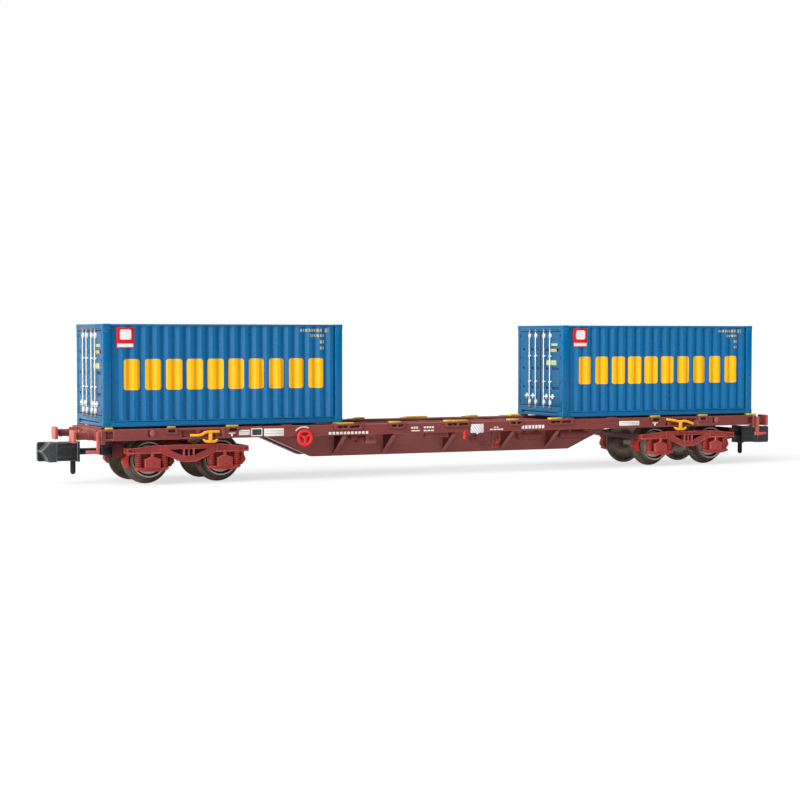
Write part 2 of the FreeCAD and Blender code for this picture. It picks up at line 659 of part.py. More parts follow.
# ---------------------------------------------------------------- wheelset
def wheelset():
    """Axle with both wheels, turned about the axle's line."""
    wheel_face = WHEEL_BACK + WHEEL_WIDTH
    half = [
        (0.0, 0.72), (WHEEL_BACK, 0.72), (WHEEL_BACK, FLANGE_RADIUS - 0.1),
        (WHEEL_BACK + 0.12, FLANGE_RADIUS), (WHEEL_BACK + 0.42, FLANGE_RADIUS),
        (WHEEL_BACK + 0.62, FLANGE_RADIUS - 0.25), (WHEEL_BACK + 0.72, TREAD_RADIUS + 0.05),
        (wheel_face - 0.12, TREAD_RADIUS - 0.05), (wheel_face, TREAD_RADIUS - 0.17),
        (wheel_face, 2.35), (wheel_face - 0.6, 2.15), (wheel_face - 0.6, 1.2),
        (wheel_face - 0.1, 1.05), (wheel_face - 0.1, 0.6), (SIDE_FRAME_IN - 0.25, 0.6),
        (SIDE_FRAME_IN - 0.1, AXLE_STUB_RADIUS), (7.2, AXLE_STUB_RADIUS), (7.2, 0.0),
    ]
    outline = half + [(-y, r) for y, r in reversed(half[1:])]
    corners = [vec(0, y, r) for y, r in outline]
    wire = Part.makePolygon(corners + corners[:1])
    turned = Part.Face(wire).revolve(vec(0, 0, 0), vec(0, 1, 0), 360)
    return moved(turned, z=AXLE_Z)


# ---------------------------------------------------------------- coupler
HEAD_Z = (3.35, 6.3)
HEAD_HALF = 1.5
SHANK_Z = (4.35, 5.25)
SHANK_HALF = 0.5
EYE_RADIUS = 0.62
REAR_FLANGE = (59.3, 59.7)          # |x| range of the plate behind the head
REAR_FLANGE_HALF = 1.6
NOSE_ROOT = 62.7                    # the wedge nose starts here
CHEEK = 0.45                        # thickness of the full-height cheek beside the nose
DROP_PIN = (60.0, 1.8, 0.4)         # |x|, z of the rounded foot's middle, radius
# head of each coupler:             further out, lower
HEAD_SHIFTS = {"left": (0.0, 0.0), "right": (0.5, 0.25)}


def coupler(side):
    """Box-headed coupler, drawn at the left end: shank, plate, box, wedge nose and drop pin."""
    out, drop = HEAD_SHIFTS[side]
    low, high = HEAD_Z
    eye = rod_z(-COUPLER_PIN_X, 0, SHANK_Z[0], SHANK_Z[1], EYE_RADIUS)
    shank = box(-REAR_FLANGE[1] - out, -COUPLER_PIN_X, -SHANK_HALF, SHANK_HALF, *SHANK_Z)
    flange = box(-REAR_FLANGE[1], -REAR_FLANGE[0], -REAR_FLANGE_HALF, REAR_FLANGE_HALF,
                 low, high + 0.1)
    body = box(-NOSE_ROOT, -REAR_FLANGE[1], -HEAD_HALF, HEAD_HALF, low + 0.1, high - 0.05)
    nose_outline = [(-NOSE_ROOT, low), (-64.0, low), (-64.35, low + 0.75), (-COUPLER_NOSE, 4.95),
                    (-64.25, high - 0.7), (-63.8, high), (-NOSE_ROOT, high)]
    nose = prism_xz(nose_outline, -HEAD_HALF, HEAD_HALF)
    corner = 0.3
    cheek_outline = [(-NOSE_ROOT, low), (-COUPLER_NOSE + corner, low),
                     (-COUPLER_NOSE, low + corner), (-COUPLER_NOSE, high - corner),
                     (-COUPLER_NOSE + corner, high), (-NOSE_ROOT, high)]
    cheek = prism_xz(cheek_outline, HEAD_HALF - CHEEK, HEAD_HALF)
    pin_x, foot_z, pin_radius = DROP_PIN
    drop_pin = fuse([rod_z(-pin_x, 0, foot_z, low + 0.2, pin_radius),
                     Part.makeSphere(pin_radius, vec(-pin_x, 0, foot_z))])
    head = moved(fuse([flange, body, nose, cheek, drop_pin]), x=-out, z=-drop)
    eye_hole = rod_z(-COUPLER_PIN_X, 0, 4, 6, PIN_RADIUS + AXLE_STUB_CLEARANCE)
    return cut(fuse([eye, shank, head]), [eye_hole])


# ---------------------------------------------------------------- container
# A container is drawn about its own middle with its doors towards -X.
HALF_L = CONTAINER_LENGTH / 2
HALF_W = CONTAINER_WIDTH / 2
BASE_Z = PAD_TOP
TOP_Z = PAD_TOP + CONTAINER_HEIGHT
POST = (1.2, 0.75)                  # corner post along X and Y
CASTING = (1.2, 1.05, 0.75)         # corner casting along X, Y and Z
BOTTOM_RAIL = (0.95, 0.6)           # height and thickness of a bottom side rail
TOP_RAIL = (0.45, 0.5)
DOOR_SILL_TOP = 10.25
DOOR_HEADER_BOTTOM = 22.62
DOOR_RECESS = 0.1                   # door's face behind the frame's face
DOOR_THICKNESS = 0.5
SHEET = 0.4                         # thickness of the corrugated sheet
RIB_DEPTH = 0.35
RIB_PITCH = 1.725
RIB_COUNT = 20
RIB_FIRST = -16.04                  # rising edge of the first rib
RIB_WIDTH = 0.8             # from rising edge to falling edge
RIB_SLOPE = 0.3
WALL_SETBACK = 0.12                 # rib crests behind the frame's face


def corrugated_points(starts, width, slope, end0, end1, outer, inner):
    """Outer line of a corrugated wall: from end0 to end1, ribs standing out to outer."""
    line = [(end0, inner)]
    for start in starts:
        line += [(start - slope / 2, inner), (start + slope / 2, outer),
                 (start + width - slope / 2, outer), (start + width + slope / 2, inner)]
    line.append((end1, inner))
    return line


def container_side_wall():
    outer = HALF_W - WALL_SETBACK
    starts = [RIB_FIRST + RIB_PITCH * k for k in range(RIB_COUNT)]
    line = corrugated_points(starts, RIB_WIDTH, RIB_SLOPE, -HALF_L + POST[0], HALF_L - POST[0],
                             outer, outer - RIB_DEPTH)
    outline = [(x, -y) for x, y in line] + [(x, -y + SHEET) for x, y in reversed(line)]
    return prism_xy(outline, BASE_Z + BOTTOM_RAIL[0], TOP_Z - TOP_RAIL[0])


def container_castings(bottom, height):
    return [box(sx * HALF_L, sx * (HALF_L - CASTING[0]), sy * HALF_W,
                sy * (HALF_W - CASTING[1]), bottom, bottom + height)
            for sx in (-1, 1) for sy in (-1, 1)]


def container_posts():
    return [box(sx * HALF_L, sx * (HALF_L - POST[0]), sy * HALF_W,
                sy * (HALF_W - POST[1]), BASE_Z, TOP_Z)
            for sx in (-1, 1) for sy in (-1, 1)]


def container_end_wall():
    outer = HALF_L - WALL_SETBACK
    pitch = 1.8
    starts = [-5.9 + pitch * k for k in range(7)]
    line = corrugated_points(starts, 1.0, RIB_SLOPE, -HALF_W + POST[1], HALF_W - POST[1],
                             outer, outer - RIB_DEPTH)
    outline = [(x, y) for y, x in line] + [(x - SHEET, y) for y, x in reversed(line)]
    wall = prism_xy(outline, BASE_Z + BOTTOM_RAIL[0], TOP_Z - TOP_RAIL[0])
    return cut(wall, container_castings(TOP_Z - CASTING[2], CASTING[2]))


def container_frame():
    """Corner posts and castings joined by the rails, the door sill and the door header."""
    pieces = container_posts()
    pieces += container_castings(BASE_Z, CASTING[2])
    pieces += container_castings(TOP_Z - CASTING[2], CASTING[2])
    for sy in (-1, 1):
        pieces.append(box(-HALF_L, HALF_L, sy * HALF_W, sy * (HALF_W - BOTTOM_RAIL[1]),
                          BASE_Z + 0.05, BASE_Z + BOTTOM_RAIL[0]))
        pieces.append(box(-HALF_L, HALF_L, sy * HALF_W, sy * (HALF_W - TOP_RAIL[1]),
                          TOP_Z - TOP_RAIL[0], TOP_Z))
    pieces.append(box(-HALF_L, -HALF_L + 0.9, -HALF_W, HALF_W, BASE_Z + 0.05, DOOR_SILL_TOP))
    pieces.append(box(-HALF_L, -HALF_L + 0.9, -HALF_W, HALF_W, DOOR_HEADER_BOTTOM, TOP_Z))
    pieces.append(box(HALF_L - 0.6, HALF_L, -HALF_W, HALF_W, BASE_Z + 0.05,
                      BASE_Z + BOTTOM_RAIL[0]))
    pieces.append(box(HALF_L - 0.5, HALF_L, -HALF_W, HALF_W, TOP_Z - TOP_RAIL[0], TOP_Z))
    frame = fuse(pieces)
    room = 0.13
    holes = []
    for sx in (-1, 1):
        spigot_x = sx * SPIGOT_REACH
        for sy in (-1, 1):
            holes.append(box(spigot_x - SPIGOT_HALF[0] - room, spigot_x + SPIGOT_HALF[0] + room,
                             sy * SPIGOT_Y - SPIGOT_HALF[1] - room,
                             sy * SPIGOT_Y + SPIGOT_HALF[1] + room, BASE_Z - 1, SPIGOT_TOP + 0.1))
    return cut(frame, holes)


def container_roof():
    panel = box(-HALF_L + 0.9, HALF_L - 0.5, -HALF_W + TOP_RAIL[1], HALF_W - TOP_RAIL[1],
                TOP_Z - 0.4, TOP_Z - 0.1)
    return cut(panel, container_castings(TOP_Z - CASTING[2], CASTING[2]))


FLOOR_Z = (9.15, 9.5)
FLOOR_MEMBERS = 11


def container_floor():
    edge = HALF_W - BOTTOM_RAIL[1]
    plate = box(-HALF_L + 0.9, HALF_L - 0.6, -edge, edge, FLOOR_Z[0], FLOOR_Z[1])
    first = -HALF_L + 2.2
    step = (CONTAINER_LENGTH - 4.4) / (FLOOR_MEMBERS - 1)
    members = [box(first + step * k - 0.2, first + step * k + 0.2, -edge, edge,
                   BASE_Z + 0.05, FLOOR_Z[0]) for k in range(FLOOR_MEMBERS)]
    corners = container_castings(BASE_Z, CASTING[2]) + container_posts()
    return cut(fuse([plate] + members), corners)


def container_doors():
    x0 = -HALF_L + DOOR_RECESS
    edge = HALF_W - POST[1] - 0.04
    leaf = box(x0, x0 + DOOR_THICKNESS, -edge, -0.05, DOOR_SILL_TOP + 0.04,
               DOOR_HEADER_BOTTOM - 0.04)
    return both_sides([leaf])


LOCK_ROD_Y = (1.35, 3.4)
LOCK_ROD_RADIUS = 0.13
LOCK_ROD_Z = (9.95, 23.1)
LOCK_ROD_PROUD = 0.15               # a rod's line in front of the frame's face
FITTING_PROUD = 0.25                # fittings in front of the door
# fittings on a lock rod:           z, half width, half height
ROD_FITTINGS = ((22.05, 0.3, 0.45), (18.65, 0.5, 0.22), (14.4, 0.5, 0.2), (10.95, 0.3, 0.45))
ROD_HANDLE = (11.95, 1.55, 0.17)    # z, reach sideways, half height


def lock_rods():
    pieces = []
    face = -HALF_L + DOOR_RECESS
    for y in LOCK_ROD_Y:
        rod = rod_z(-HALF_L - LOCK_ROD_PROUD, -y, LOCK_ROD_Z[0], LOCK_ROD_Z[1], LOCK_ROD_RADIUS)
        front = face - FITTING_PROUD
        fittings = [box(front, face, -y - half_w, -y + half_w, z - half_h, z + half_h)
                    for z, half_w, half_h in ROD_FITTINGS]
        z, reach, half_h = ROD_HANDLE
        handle = box(front, face - 0.05, -y - reach, -y, z - half_h, z + half_h)
        hub = box(front, face, -y - 1.2, -y - 0.65, z - 0.32, z + 0.32)
        pieces.append(fuse([rod, handle, hub] + fittings))
    return both_sides(pieces)


# ---------------------------------------------------------------- write every node
def write_wagon():
    save("side_sills", both_sides([side_sill()]))
    save("center_girders", both_sides([center_girder()]))
    save("end_stringers", both_ends(both_sides([end_stringer()])))
    save("headstocks", both_ends([headstock()]))
    save("outriggers", both_sides([outrigger(x) for x in OUTRIGGER_X]))
    save("cross_bearers", cross_bearers())
    save("frame_bolsters", both_ends([frame_bolster()]))
    save("spigot_pads", spigot_pads())
    save("spigot_brackets", spigot_brackets())
    save("buffer_casings", both_ends(both_sides([buffer_casing()])))
    save("buffer_heads", both_ends(both_sides([buffer_head()])))
    save("draw_hooks", both_ends([draw_hook()]))
    save("corner_handles", both_ends(both_sides([corner_handle()])))
    save("brake_handwheels", point_symmetric([handwheel()]))
    save("changeover_levers", point_symmetric([changeover_lever(*row) for row in LEVERS]))
    save("release_levers", release_levers())
    save("air_reservoirs", air_reservoirs())
    save("brake_equipment", brake_equipment())
    save("brake_pull_rod", [brake_pull_rod()])
    save("marking_boards", marking_boards())
    save("instruction_plates", instruction_plates())


def bogie_screw():
    shaft = rod_z(-PIVOT_X, 0, 4.3, CENTRE_PLATE_Z, PIVOT_RADIUS)
    head = rod_z(-PIVOT_X, 0, 4.1, BOLSTER_BOTTOM - 0.1, 1.6)
    return fuse([shaft, head])


def write_bogie(side, sign):
    """side names the end, sign is -1 for the left bogie and 1 for the right one."""
    def place(shapes):
        turned = [shape if sign < 0 else turned_half(shape) for shape in shapes]
        return [moved(shape, x=sign * PIVOT_X) for shape in turned]

    axles = (-HALF_WHEELBASE, HALF_WHEELBASE)
    save(side + "_bogie_side_frames", place(both_sides([bogie_side_frame()])))
    save(side + "_bogie_cross_beams", place(bogie_cross_beams()))
    save(side + "_bogie_axleboxes", place(both_sides([axlebox(x) for x in axles])))
    springs = [spring for x in axles for spring in bogie_springs(x)]
    save(side + "_bogie_springs", place(both_sides(springs)))
    save(side + "_bogie_brakes", place(brake_blocks()))
    save(side + "_coupler_pocket", place([coupler_pocket()]))
    save(side + "_outer_wheelset", place([moved(wheelset(), x=-HALF_WHEELBASE)]))
    save(side + "_inner_wheelset", place([moved(wheelset(), x=HALF_WHEELBASE)]))
    save(side + "_coupler", [coupler(side) if sign < 0 else turned_half(coupler(side))])


def write_container(side, x):
    def place(shapes):
        return [moved(shape, x=x) for shape in shapes]

    save(side + "_container_frame", place([container_frame()]))
    save(side + "_container_walls", place(both_sides([container_side_wall()])
                                          + [container_end_wall()]))
    save(side + "_container_roof", place([container_roof()]))
    save(side + "_container_floor", place([container_floor()]))
    save(side + "_container_doors", place(container_doors()))
    save(side + "_container_lock_rods", place(lock_rods()))


os.makedirs("parts", exist_ok=True)
write_wagon()
save("bogie_screws", both_ends([bogie_screw()]))
for side_name, direction in (("left", -1), ("right", 1)):
    write_bogie(side_name, direction)
    write_container(side_name, direction * CONTAINER_X)
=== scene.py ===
import json
import math
from functools import partial

import bmesh
import bpy
from mathutils import Matrix, Vector

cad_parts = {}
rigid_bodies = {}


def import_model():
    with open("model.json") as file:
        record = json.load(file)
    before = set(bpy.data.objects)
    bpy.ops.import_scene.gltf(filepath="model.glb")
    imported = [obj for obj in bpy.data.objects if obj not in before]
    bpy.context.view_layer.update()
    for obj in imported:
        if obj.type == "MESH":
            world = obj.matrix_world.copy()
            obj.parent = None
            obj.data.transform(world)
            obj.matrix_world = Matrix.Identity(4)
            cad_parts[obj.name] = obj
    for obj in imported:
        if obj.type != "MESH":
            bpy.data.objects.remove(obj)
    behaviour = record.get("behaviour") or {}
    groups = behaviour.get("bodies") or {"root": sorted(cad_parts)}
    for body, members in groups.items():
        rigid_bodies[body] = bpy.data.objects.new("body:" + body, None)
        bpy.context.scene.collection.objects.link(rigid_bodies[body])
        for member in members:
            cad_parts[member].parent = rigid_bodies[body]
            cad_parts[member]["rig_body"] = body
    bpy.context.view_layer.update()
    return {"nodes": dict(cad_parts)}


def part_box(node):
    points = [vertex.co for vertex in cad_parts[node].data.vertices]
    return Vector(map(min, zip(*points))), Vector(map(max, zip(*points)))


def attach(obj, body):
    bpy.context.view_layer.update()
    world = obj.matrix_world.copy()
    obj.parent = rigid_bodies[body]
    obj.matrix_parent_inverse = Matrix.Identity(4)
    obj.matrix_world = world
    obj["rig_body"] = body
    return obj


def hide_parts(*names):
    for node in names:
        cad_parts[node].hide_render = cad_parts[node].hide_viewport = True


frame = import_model()
print("frame loaded:", len(frame["nodes"]), "nodes")

# Shapes are drawn in millimetres and made metres when a piece is finished.
# X runs along the wagon, Y across it, Z up; the near side is -Y.
millimetre = 0.001

# where the copies of a shape go
stay, sideToSide, endToEnd, halfTurn = (
    Matrix.Diagonal((x, y, 1, 1)) for x, y in ((1, 1), (1, -1), (-1, 1), (-1, -1)))
once, bothSides, bothEnds, oppositeCorners = (stay,), (stay, sideToSide), (stay, endToEnd), (stay, halfTurn)
fourCorners = (stay, sideToSide, endToEnd, halfTurn)


def nodeBox(node):
    # lowest and highest corner of a frame node, in millimetres
    low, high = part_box(node)
    return low / millimetre, high / millimetre


def middle(node):
    low, high = nodeBox(node)
    return (low + high) / 2


def startShape():
    shape = bmesh.new()
    shape.faces.layers.float.new("edgeWearAndHighlight")
    return shape


def move(shape, vec):
    bmesh.ops.translate(shape, vec=vec, verts=shape.verts)


def stretch(shape, vec):
    bmesh.ops.scale(shape, vec=vec, verts=shape.verts)


def softenEdges(shape, width, segments=2, sharpest=0.35, uprights=False):
    # bevels every real edge and marks it for the paint's edge wear and painted edge highlight; with uprights
    # only the tall edges, unmarked
    if width <= 0:
        return
    edges = [edge for edge in shape.edges if edge.calc_face_angle(0) > sharpest
             and not (uprights and abs(edge.verts[0].co.z - edge.verts[1].co.z) <= 1)]
    made = bmesh.ops.bevel(shape, geom=edges, offset=width, offset_type="OFFSET", segments=segments,
                           profile=0.5, affect="EDGES", clamp_overlap=True, material=-1)
    wear = shape.faces.layers.float["edgeWearAndHighlight"]
    for face in made["faces"]:
        face[wear] = 0.0 if uprights else 1.0


def paintFaces(shape, paint, looksThere=None):
    # paints all faces, or those whose normal passes a test
    for face in shape.faces:
        if not looksThere or looksThere(face.normal):
            face.material_index = paint


def pull(shape, faces, vec):
    # extrudes faces and moves the new ends; gives back the new faces
    made = bmesh.ops.extrude_face_region(shape, geom=faces)["geom"]
    bmesh.ops.translate(shape, vec=vec, verts=[item for item in made if isinstance(item, bmesh.types.BMVert)])
    return [item for item in made if isinstance(item, bmesh.types.BMFace)]


def block(x, y, z, edge=0.06, paint=0, sunk=()):
    # a soft-edged block; sunk lists pockets in its -X face as ((y limits, z limits), depth)
    shape = startShape()
    bmesh.ops.create_cube(shape, size=1.0)
    stretch(shape, [high - low for low, high in (x, y, z)])
    move(shape, [(low + high) / 2 for low, high in (x, y, z)])
    paintFaces(shape, paint)
    for limits, depth in sunk:
        sinkPocket(shape, x[0], limits, depth)
    softenEdges(shape, edge)
    return shape


def sinkPocket(shape, face, limits, depth):
    for normal, cuts in zip(((0, 1, 0), (0, 0, 1)), limits):
        for cut in cuts:
            bmesh.ops.bisect_plane(shape, geom=shape.verts[:] + shape.edges[:] + shape.faces[:],
                                   plane_co=[cut * part for part in normal], plane_no=normal, dist=1e-5)
    picked = []
    for each in shape.faces:
        spot = each.calc_center_median()
        inside = all(low < at < high for at, (low, high) in zip(spot.yz, limits))
        if inside and abs(spot.x - face) < 1e-4 and abs(each.normal.x) > 0.9:
            picked.append(each)
    made = pull(shape, picked, (depth, 0, 0))
    bmesh.ops.delete(shape, geom=picked, context="FACES_ONLY")
    # a pocket's inside takes the second finish: painted shade
    for each in made:
        each.material_index = 1


def lifted(plane, u, v, depth):
    return {"xz": (u, depth, v), "yz": (depth, u, v), "xy": (u, v, depth)}[plane]


def plate(plane, outline, depths, edge=0.06, holes=(), paint=0, segments=2):
    # a flat outline, with holes in it, pulled out to a plate between two depths
    shape = startShape()
    borders = []
    for points in (outline, *holes):
        corners = [shape.verts.new(lifted(plane, *point, depths[0])) for point in points]
        borders += [shape.edges.new(pair) for pair in zip(corners, corners[1:] + corners[:1])]
    if holes:
        bmesh.ops.triangle_fill(shape, use_beauty=True, use_dissolve=False, edges=borders)
    else:
        shape.faces.new(shape.verts)
    pull(shape, shape.faces[:], lifted(plane, 0, 0, depths[1] - depths[0]))
    bmesh.ops.recalc_face_normals(shape, faces=shape.faces)
    paintFaces(shape, paint)
    softenEdges(shape, edge, segments)
    return shape


def spun(shape, geom, steps, turns=1.0, rise=0.0):
    # spins a section round Z: closed where it doesn't rise, else with its two ends filled
    bmesh.ops.spin(shape, geom=geom, cent=(0, 0, 0), axis=(0, 0, 1), dvec=(0, 0, rise / steps),
                   angle=2 * math.pi * turns, steps=steps, use_merge=not rise, use_duplicate=False)
    if rise:
        bmesh.ops.holes_fill(shape, edges=[edge for edge in shape.edges if edge.is_boundary], sides=8)
    else:
        bmesh.ops.remove_doubles(shape, verts=shape.verts, dist=1e-5)
    bmesh.ops.recalc_face_normals(shape, faces=shape.faces)


toAxis = {"x": Matrix.Rotation(math.pi / 2, 4, "Y"), "y": Matrix.Rotation(-math.pi / 2, 4, "X"), "z": stay}


def turned(profile, axis="z", centre=(0, 0, 0), steps=32, paint=0, paints=None):
    # (along, radius) points spun round an axis; paints names a finish for each length
    shape = startShape()
    line = [shape.verts.new((radius, 0, along)) for along, radius in profile]
    spun(shape, line + [shape.edges.new(pair) for pair in zip(line, line[1:])], steps)
    paintFaces(shape, paint)
    for face in shape.faces if paints else ():
        spot = face.calc_center_median()
        here = (spot.z, math.hypot(spot.x, spot.y) / math.cos(math.pi / steps))
        face.material_index = paints[min(range(len(paints)), key=lambda k: math.dist(
            here, [(a + b) / 2 for a, b in zip(profile[k], profile[k + 1])]))]
    bmesh.ops.transform(shape, matrix=Matrix.Translation(centre) @ toAxis[axis], verts=shape.verts)
    return shape


def rod(axis, ends, centre, radius, steps=20, edge=0.04, paint=0):
    # a round bar with softened ends; centre gives the two coordinates across the axis
    start, stop = ends
    trim = min(edge, radius / 2)
    profile = [(start, 0), (start, radius - trim), (start + trim, radius), (stop - trim, radius),
               (stop, radius - trim), (stop, 0)]
    place = {"x": (0, *centre), "y": (centre[0], 0, centre[1]), "z": (*centre, 0)}[axis]
    return turned(profile, axis, place, steps, paint)


def wound(radius, wire, sides, steps, turns=1.0, rise=0.0):
    # a round wire bent to a ring about Z, or to a coil that rises
    shape = startShape()
    bmesh.ops.create_circle(shape, cap_ends=False, segments=sides, radius=wire)
    bmesh.ops.rotate(shape, cent=(0, 0, 0), matrix=Matrix.Rotation(math.pi / 2, 3, "X"), verts=shape.verts)
    move(shape, (radius, 0, 0))
    spun(shape, shape.verts[:] + shape.edges[:], steps, turns, rise)
    return shape


def thickLine(points, half):
    # outline of a band that follows a bent line
    sides = []
    for index, (x, z) in enumerate(points):
        before, after = points[max(index - 1, 0)], points[min(index + 1, len(points) - 1)]
        length = math.dist(before, after)
        dx, dz = (before[1] - after[1]) / length, (after[0] - before[0]) / length
        sides.append(((x + half * dx, z + half * dz), (x - half * dx, z - half * dz)))
    upper, lower = zip(*sides)
    return upper + lower[::-1]


def circlePoints(radius, centreX=0.0, centreZ=0.0, angles=range(0, 360, 12)):
    turns = [math.radians(angle) for angle in angles]
    return [(centreX + radius * math.cos(turn), centreZ + radius * math.sin(turn)) for turn in turns]


def roundedOutline(width, height, corner, steps=4, centre=(0, 0)):
    points = []
    for signU, signV, start in ((1, 1, 0), (-1, 1, 90), (-1, -1, 180), (1, -1, 270)):
        for step in range(steps + 1):
            angle = math.radians(start + 90 * step / steps)
            points.append((centre[0] + (signU * (width / 2 - corner) + corner * math.cos(angle)),
                           centre[1] + (signV * (height / 2 - corner) + corner * math.sin(angle))))
    return points


def finishPiece(name, shapes, paints, usual=once, place=stay, crease=0.6, repaint=None, body=None):
    # copies shapes to their own or the usual places, and puts the piece at its true size on its body
    target = startShape()
    for each in shapes:
        copies, shape = each if isinstance(each, tuple) else (usual, each)
        mesh = bpy.data.meshes.new("shape")
        shape.to_mesh(mesh)
        shape.free()
        for copy in copies:
            vertCount, faceCount = len(target.verts), len(target.faces)
            target.from_mesh(mesh)
            target.verts.ensure_lookup_table()
            target.faces.ensure_lookup_table()
            bmesh.ops.transform(target, matrix=copy, verts=target.verts[vertCount:])
            if copy.determinant() < 0:
                bmesh.ops.reverse_faces(target, faces=target.faces[faceCount:])
        bpy.data.meshes.remove(mesh)
    for face in target.faces:
        face.smooth = True
        if repaint:     # a test, and the paint for the faces in the first finish that pass it
            face.normal_update()
            if face.material_index == 0 and repaint[0](face):
                face.material_index = repaint[1]
    bmesh.ops.transform(target, matrix=place, verts=target.verts)
    stretch(target, (millimetre,) * 3)
    for edge in target.edges:
        edge.smooth = edge.calc_face_angle(0) < crease
    mesh = bpy.data.meshes.new(name)
    target.to_mesh(mesh)
    target.free()
    piece = bpy.data.objects.new(name, mesh)
    bpy.context.scene.collection.objects.link(piece)
    for paint in paints.split():
        mesh.materials.append(finishes[paint])
    # a piece named after a frame node stands for it, on the same body
    node = "".join("_" + letter.lower() if letter.isupper() else letter for letter in name)
    node = node.replace("centre", "center")
    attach(piece, body or frame["nodes"][node]["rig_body"])
    if not body:
        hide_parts(node)


def colour(text):
    channels = [int(text[start:start + 2], 16) / 255 for start in (0, 2, 4)]
    return (*(part / 12.92 if part <= 0.04045 else ((part + 0.055) / 1.055) ** 2.4
              for part in channels), 1.0)


def join(tree, value, socket):
    if isinstance(value, bpy.types.NodeSocket):
        tree.links.new(value, socket)
    elif value is not None:
        socket.default_value = value


def addNode(near, kind, inputs=None, **settings):
    # near is the node tree, or a socket in it
    tree = near.id_data
    node = tree.nodes.new(kind)
    for name, value in settings.items():
        setattr(node, name, value)
    for name, value in (inputs or {}).items():
        join(tree, value, node.inputs[name])
    return node


def noise(place, size, detail=3.0):
    # size is in millimetres
    return addNode(place, "ShaderNodeTexNoise", {
        "Vector": place, "Scale": 1 / (size * millimetre), "Detail": detail, "Roughness": 0.55,
    }).outputs["Fac"]


def remap(value, low, high, outLow=0.0, outHigh=1.0):
    return addNode(value, "ShaderNodeMapRange", {
        "Value": value, "From Min": low, "From Max": high, "To Min": outLow, "To Max": outHigh,
    }).outputs["Result"]


def sums(operation, first, second=None):
    near = first if isinstance(first, bpy.types.NodeSocket) else second
    return addNode(near, "ShaderNodeMath", {0: first, 1: second}, operation=operation).outputs[0]


times, plus, minus, larger, smaller = (
    partial(sums, kind) for kind in ("MULTIPLY", "ADD", "SUBTRACT", "GREATER_THAN", "LESS_THAN"))


def blendColour(factor, first, second):
    return addNode(factor, "ShaderNodeMix", {0: factor, 6: first, 7: second}, data_type="RGBA").outputs[2]


def bump(height, distance, normal=None):
    return addNode(height, "ShaderNodeBump", {
        "Height": height, "Strength": 1.0, "Distance": distance * millimetre, "Normal": normal,
    }).outputs["Normal"]


def localAxes(place, **mapping):
    # x, y and z in millimetres
    local = addNode(place, "ShaderNodeMapping", {"Vector": place, "Scale": (1 / millimetre,) * 3, **mapping})
    return addNode(place, "ShaderNodeSeparateXYZ", {"Vector": local.outputs["Vector"]}).outputs


def between(value, low, high):
    return times(larger(value, low), smaller(value, high))


finishDefaults = {
    "patch": 6.0,           # size of the paint's slow changes, mm
    "patchShare": 0.5,      # how far they go towards the shade
    "grain": 0.22,          # size of the fine grain, mm
    "grainShare": 0.12,
    "rough": (0.36, 0.5),
    "ior": 1.3,
    "metallic": 0.0,
    "bump": 0.012,          # height of the grain, mm
    "swell": 0.03,          # height of the slow unevenness, mm
    "wear": 0.35,           # how far worn edges go towards the edge colour, which is partly a painted highlight
}
finishes, slots = {}, {}


def makeFinish(name, slot, colours, changes=(), base=None, prints=None):
    # colour variation, grain, prints, worn edges with a painted highlight, roughness and bump over a base
    # colour
    look = {**finishDefaults, **dict(changes)}
    material = bpy.data.materials.new(name)
    material.use_nodes = True
    finishes[name], slots[name] = material, slot
    tree = material.node_tree
    shader = tree.nodes["Principled BSDF"]
    place = addNode(tree, "ShaderNodeTexCoord").outputs["Object"]
    plain, shade, edge = (colour(text) for text in colours.split())
    patches, grains = noise(place, look["patch"], 4.0), noise(place, look["grain"], 2.0)
    tint = base(place, plain) if base else plain
    mixed = blendColour(remap(patches, 0.35, 0.65, 0.0, look["patchShare"]), tint, shade)
    mixed = blendColour(remap(grains, 0.4, 0.75, 0.0, look["grainShare"]), mixed, edge)
    for mask, ink in prints(place) if prints else ():
        mixed = blendColour(mask, mixed, ink)
    # edges are pulled towards the edge colour: wear, and a painted highlight
    edges = addNode(tree, "ShaderNodeAttribute", attribute_name="edgeWearAndHighlight").outputs["Fac"]
    wornAndHighlighted = times(edges, times(remap(noise(place, 0.9), 0.35, 0.6, 0.35, 1.0), look["wear"]))
    normal = bump(grains, look["bump"], bump(noise(place, look["patch"] * 0.4, 2.0), look["swell"]))
    if "rings" in look:     # fine turning marks about an axle
        local = addNode(tree, "ShaderNodeMapping", {
            "Vector": place, "Location": [-part * millimetre for part in look["centre"]]})
        rings = addNode(tree, "ShaderNodeTexWave", {
            "Vector": local.outputs["Vector"], "Scale": 0.32 / millimetre, "Distortion": 0.4,
            "Detail": 1.0}, wave_type="RINGS", rings_direction="Y")
        normal = bump(rings.outputs["Fac"], look["rings"], normal)
    for socket, value in (
            ("Base Color", blendColour(wornAndHighlighted, mixed, edge)), ("Normal", normal),
            ("Roughness", plus(remap(patches, 0.3, 0.7, *look["rough"]), times(grains, 0.06))),
            ("Metallic", look["metallic"]), ("IOR", look["ior"])):
        join(tree, value, shader.inputs[socket])


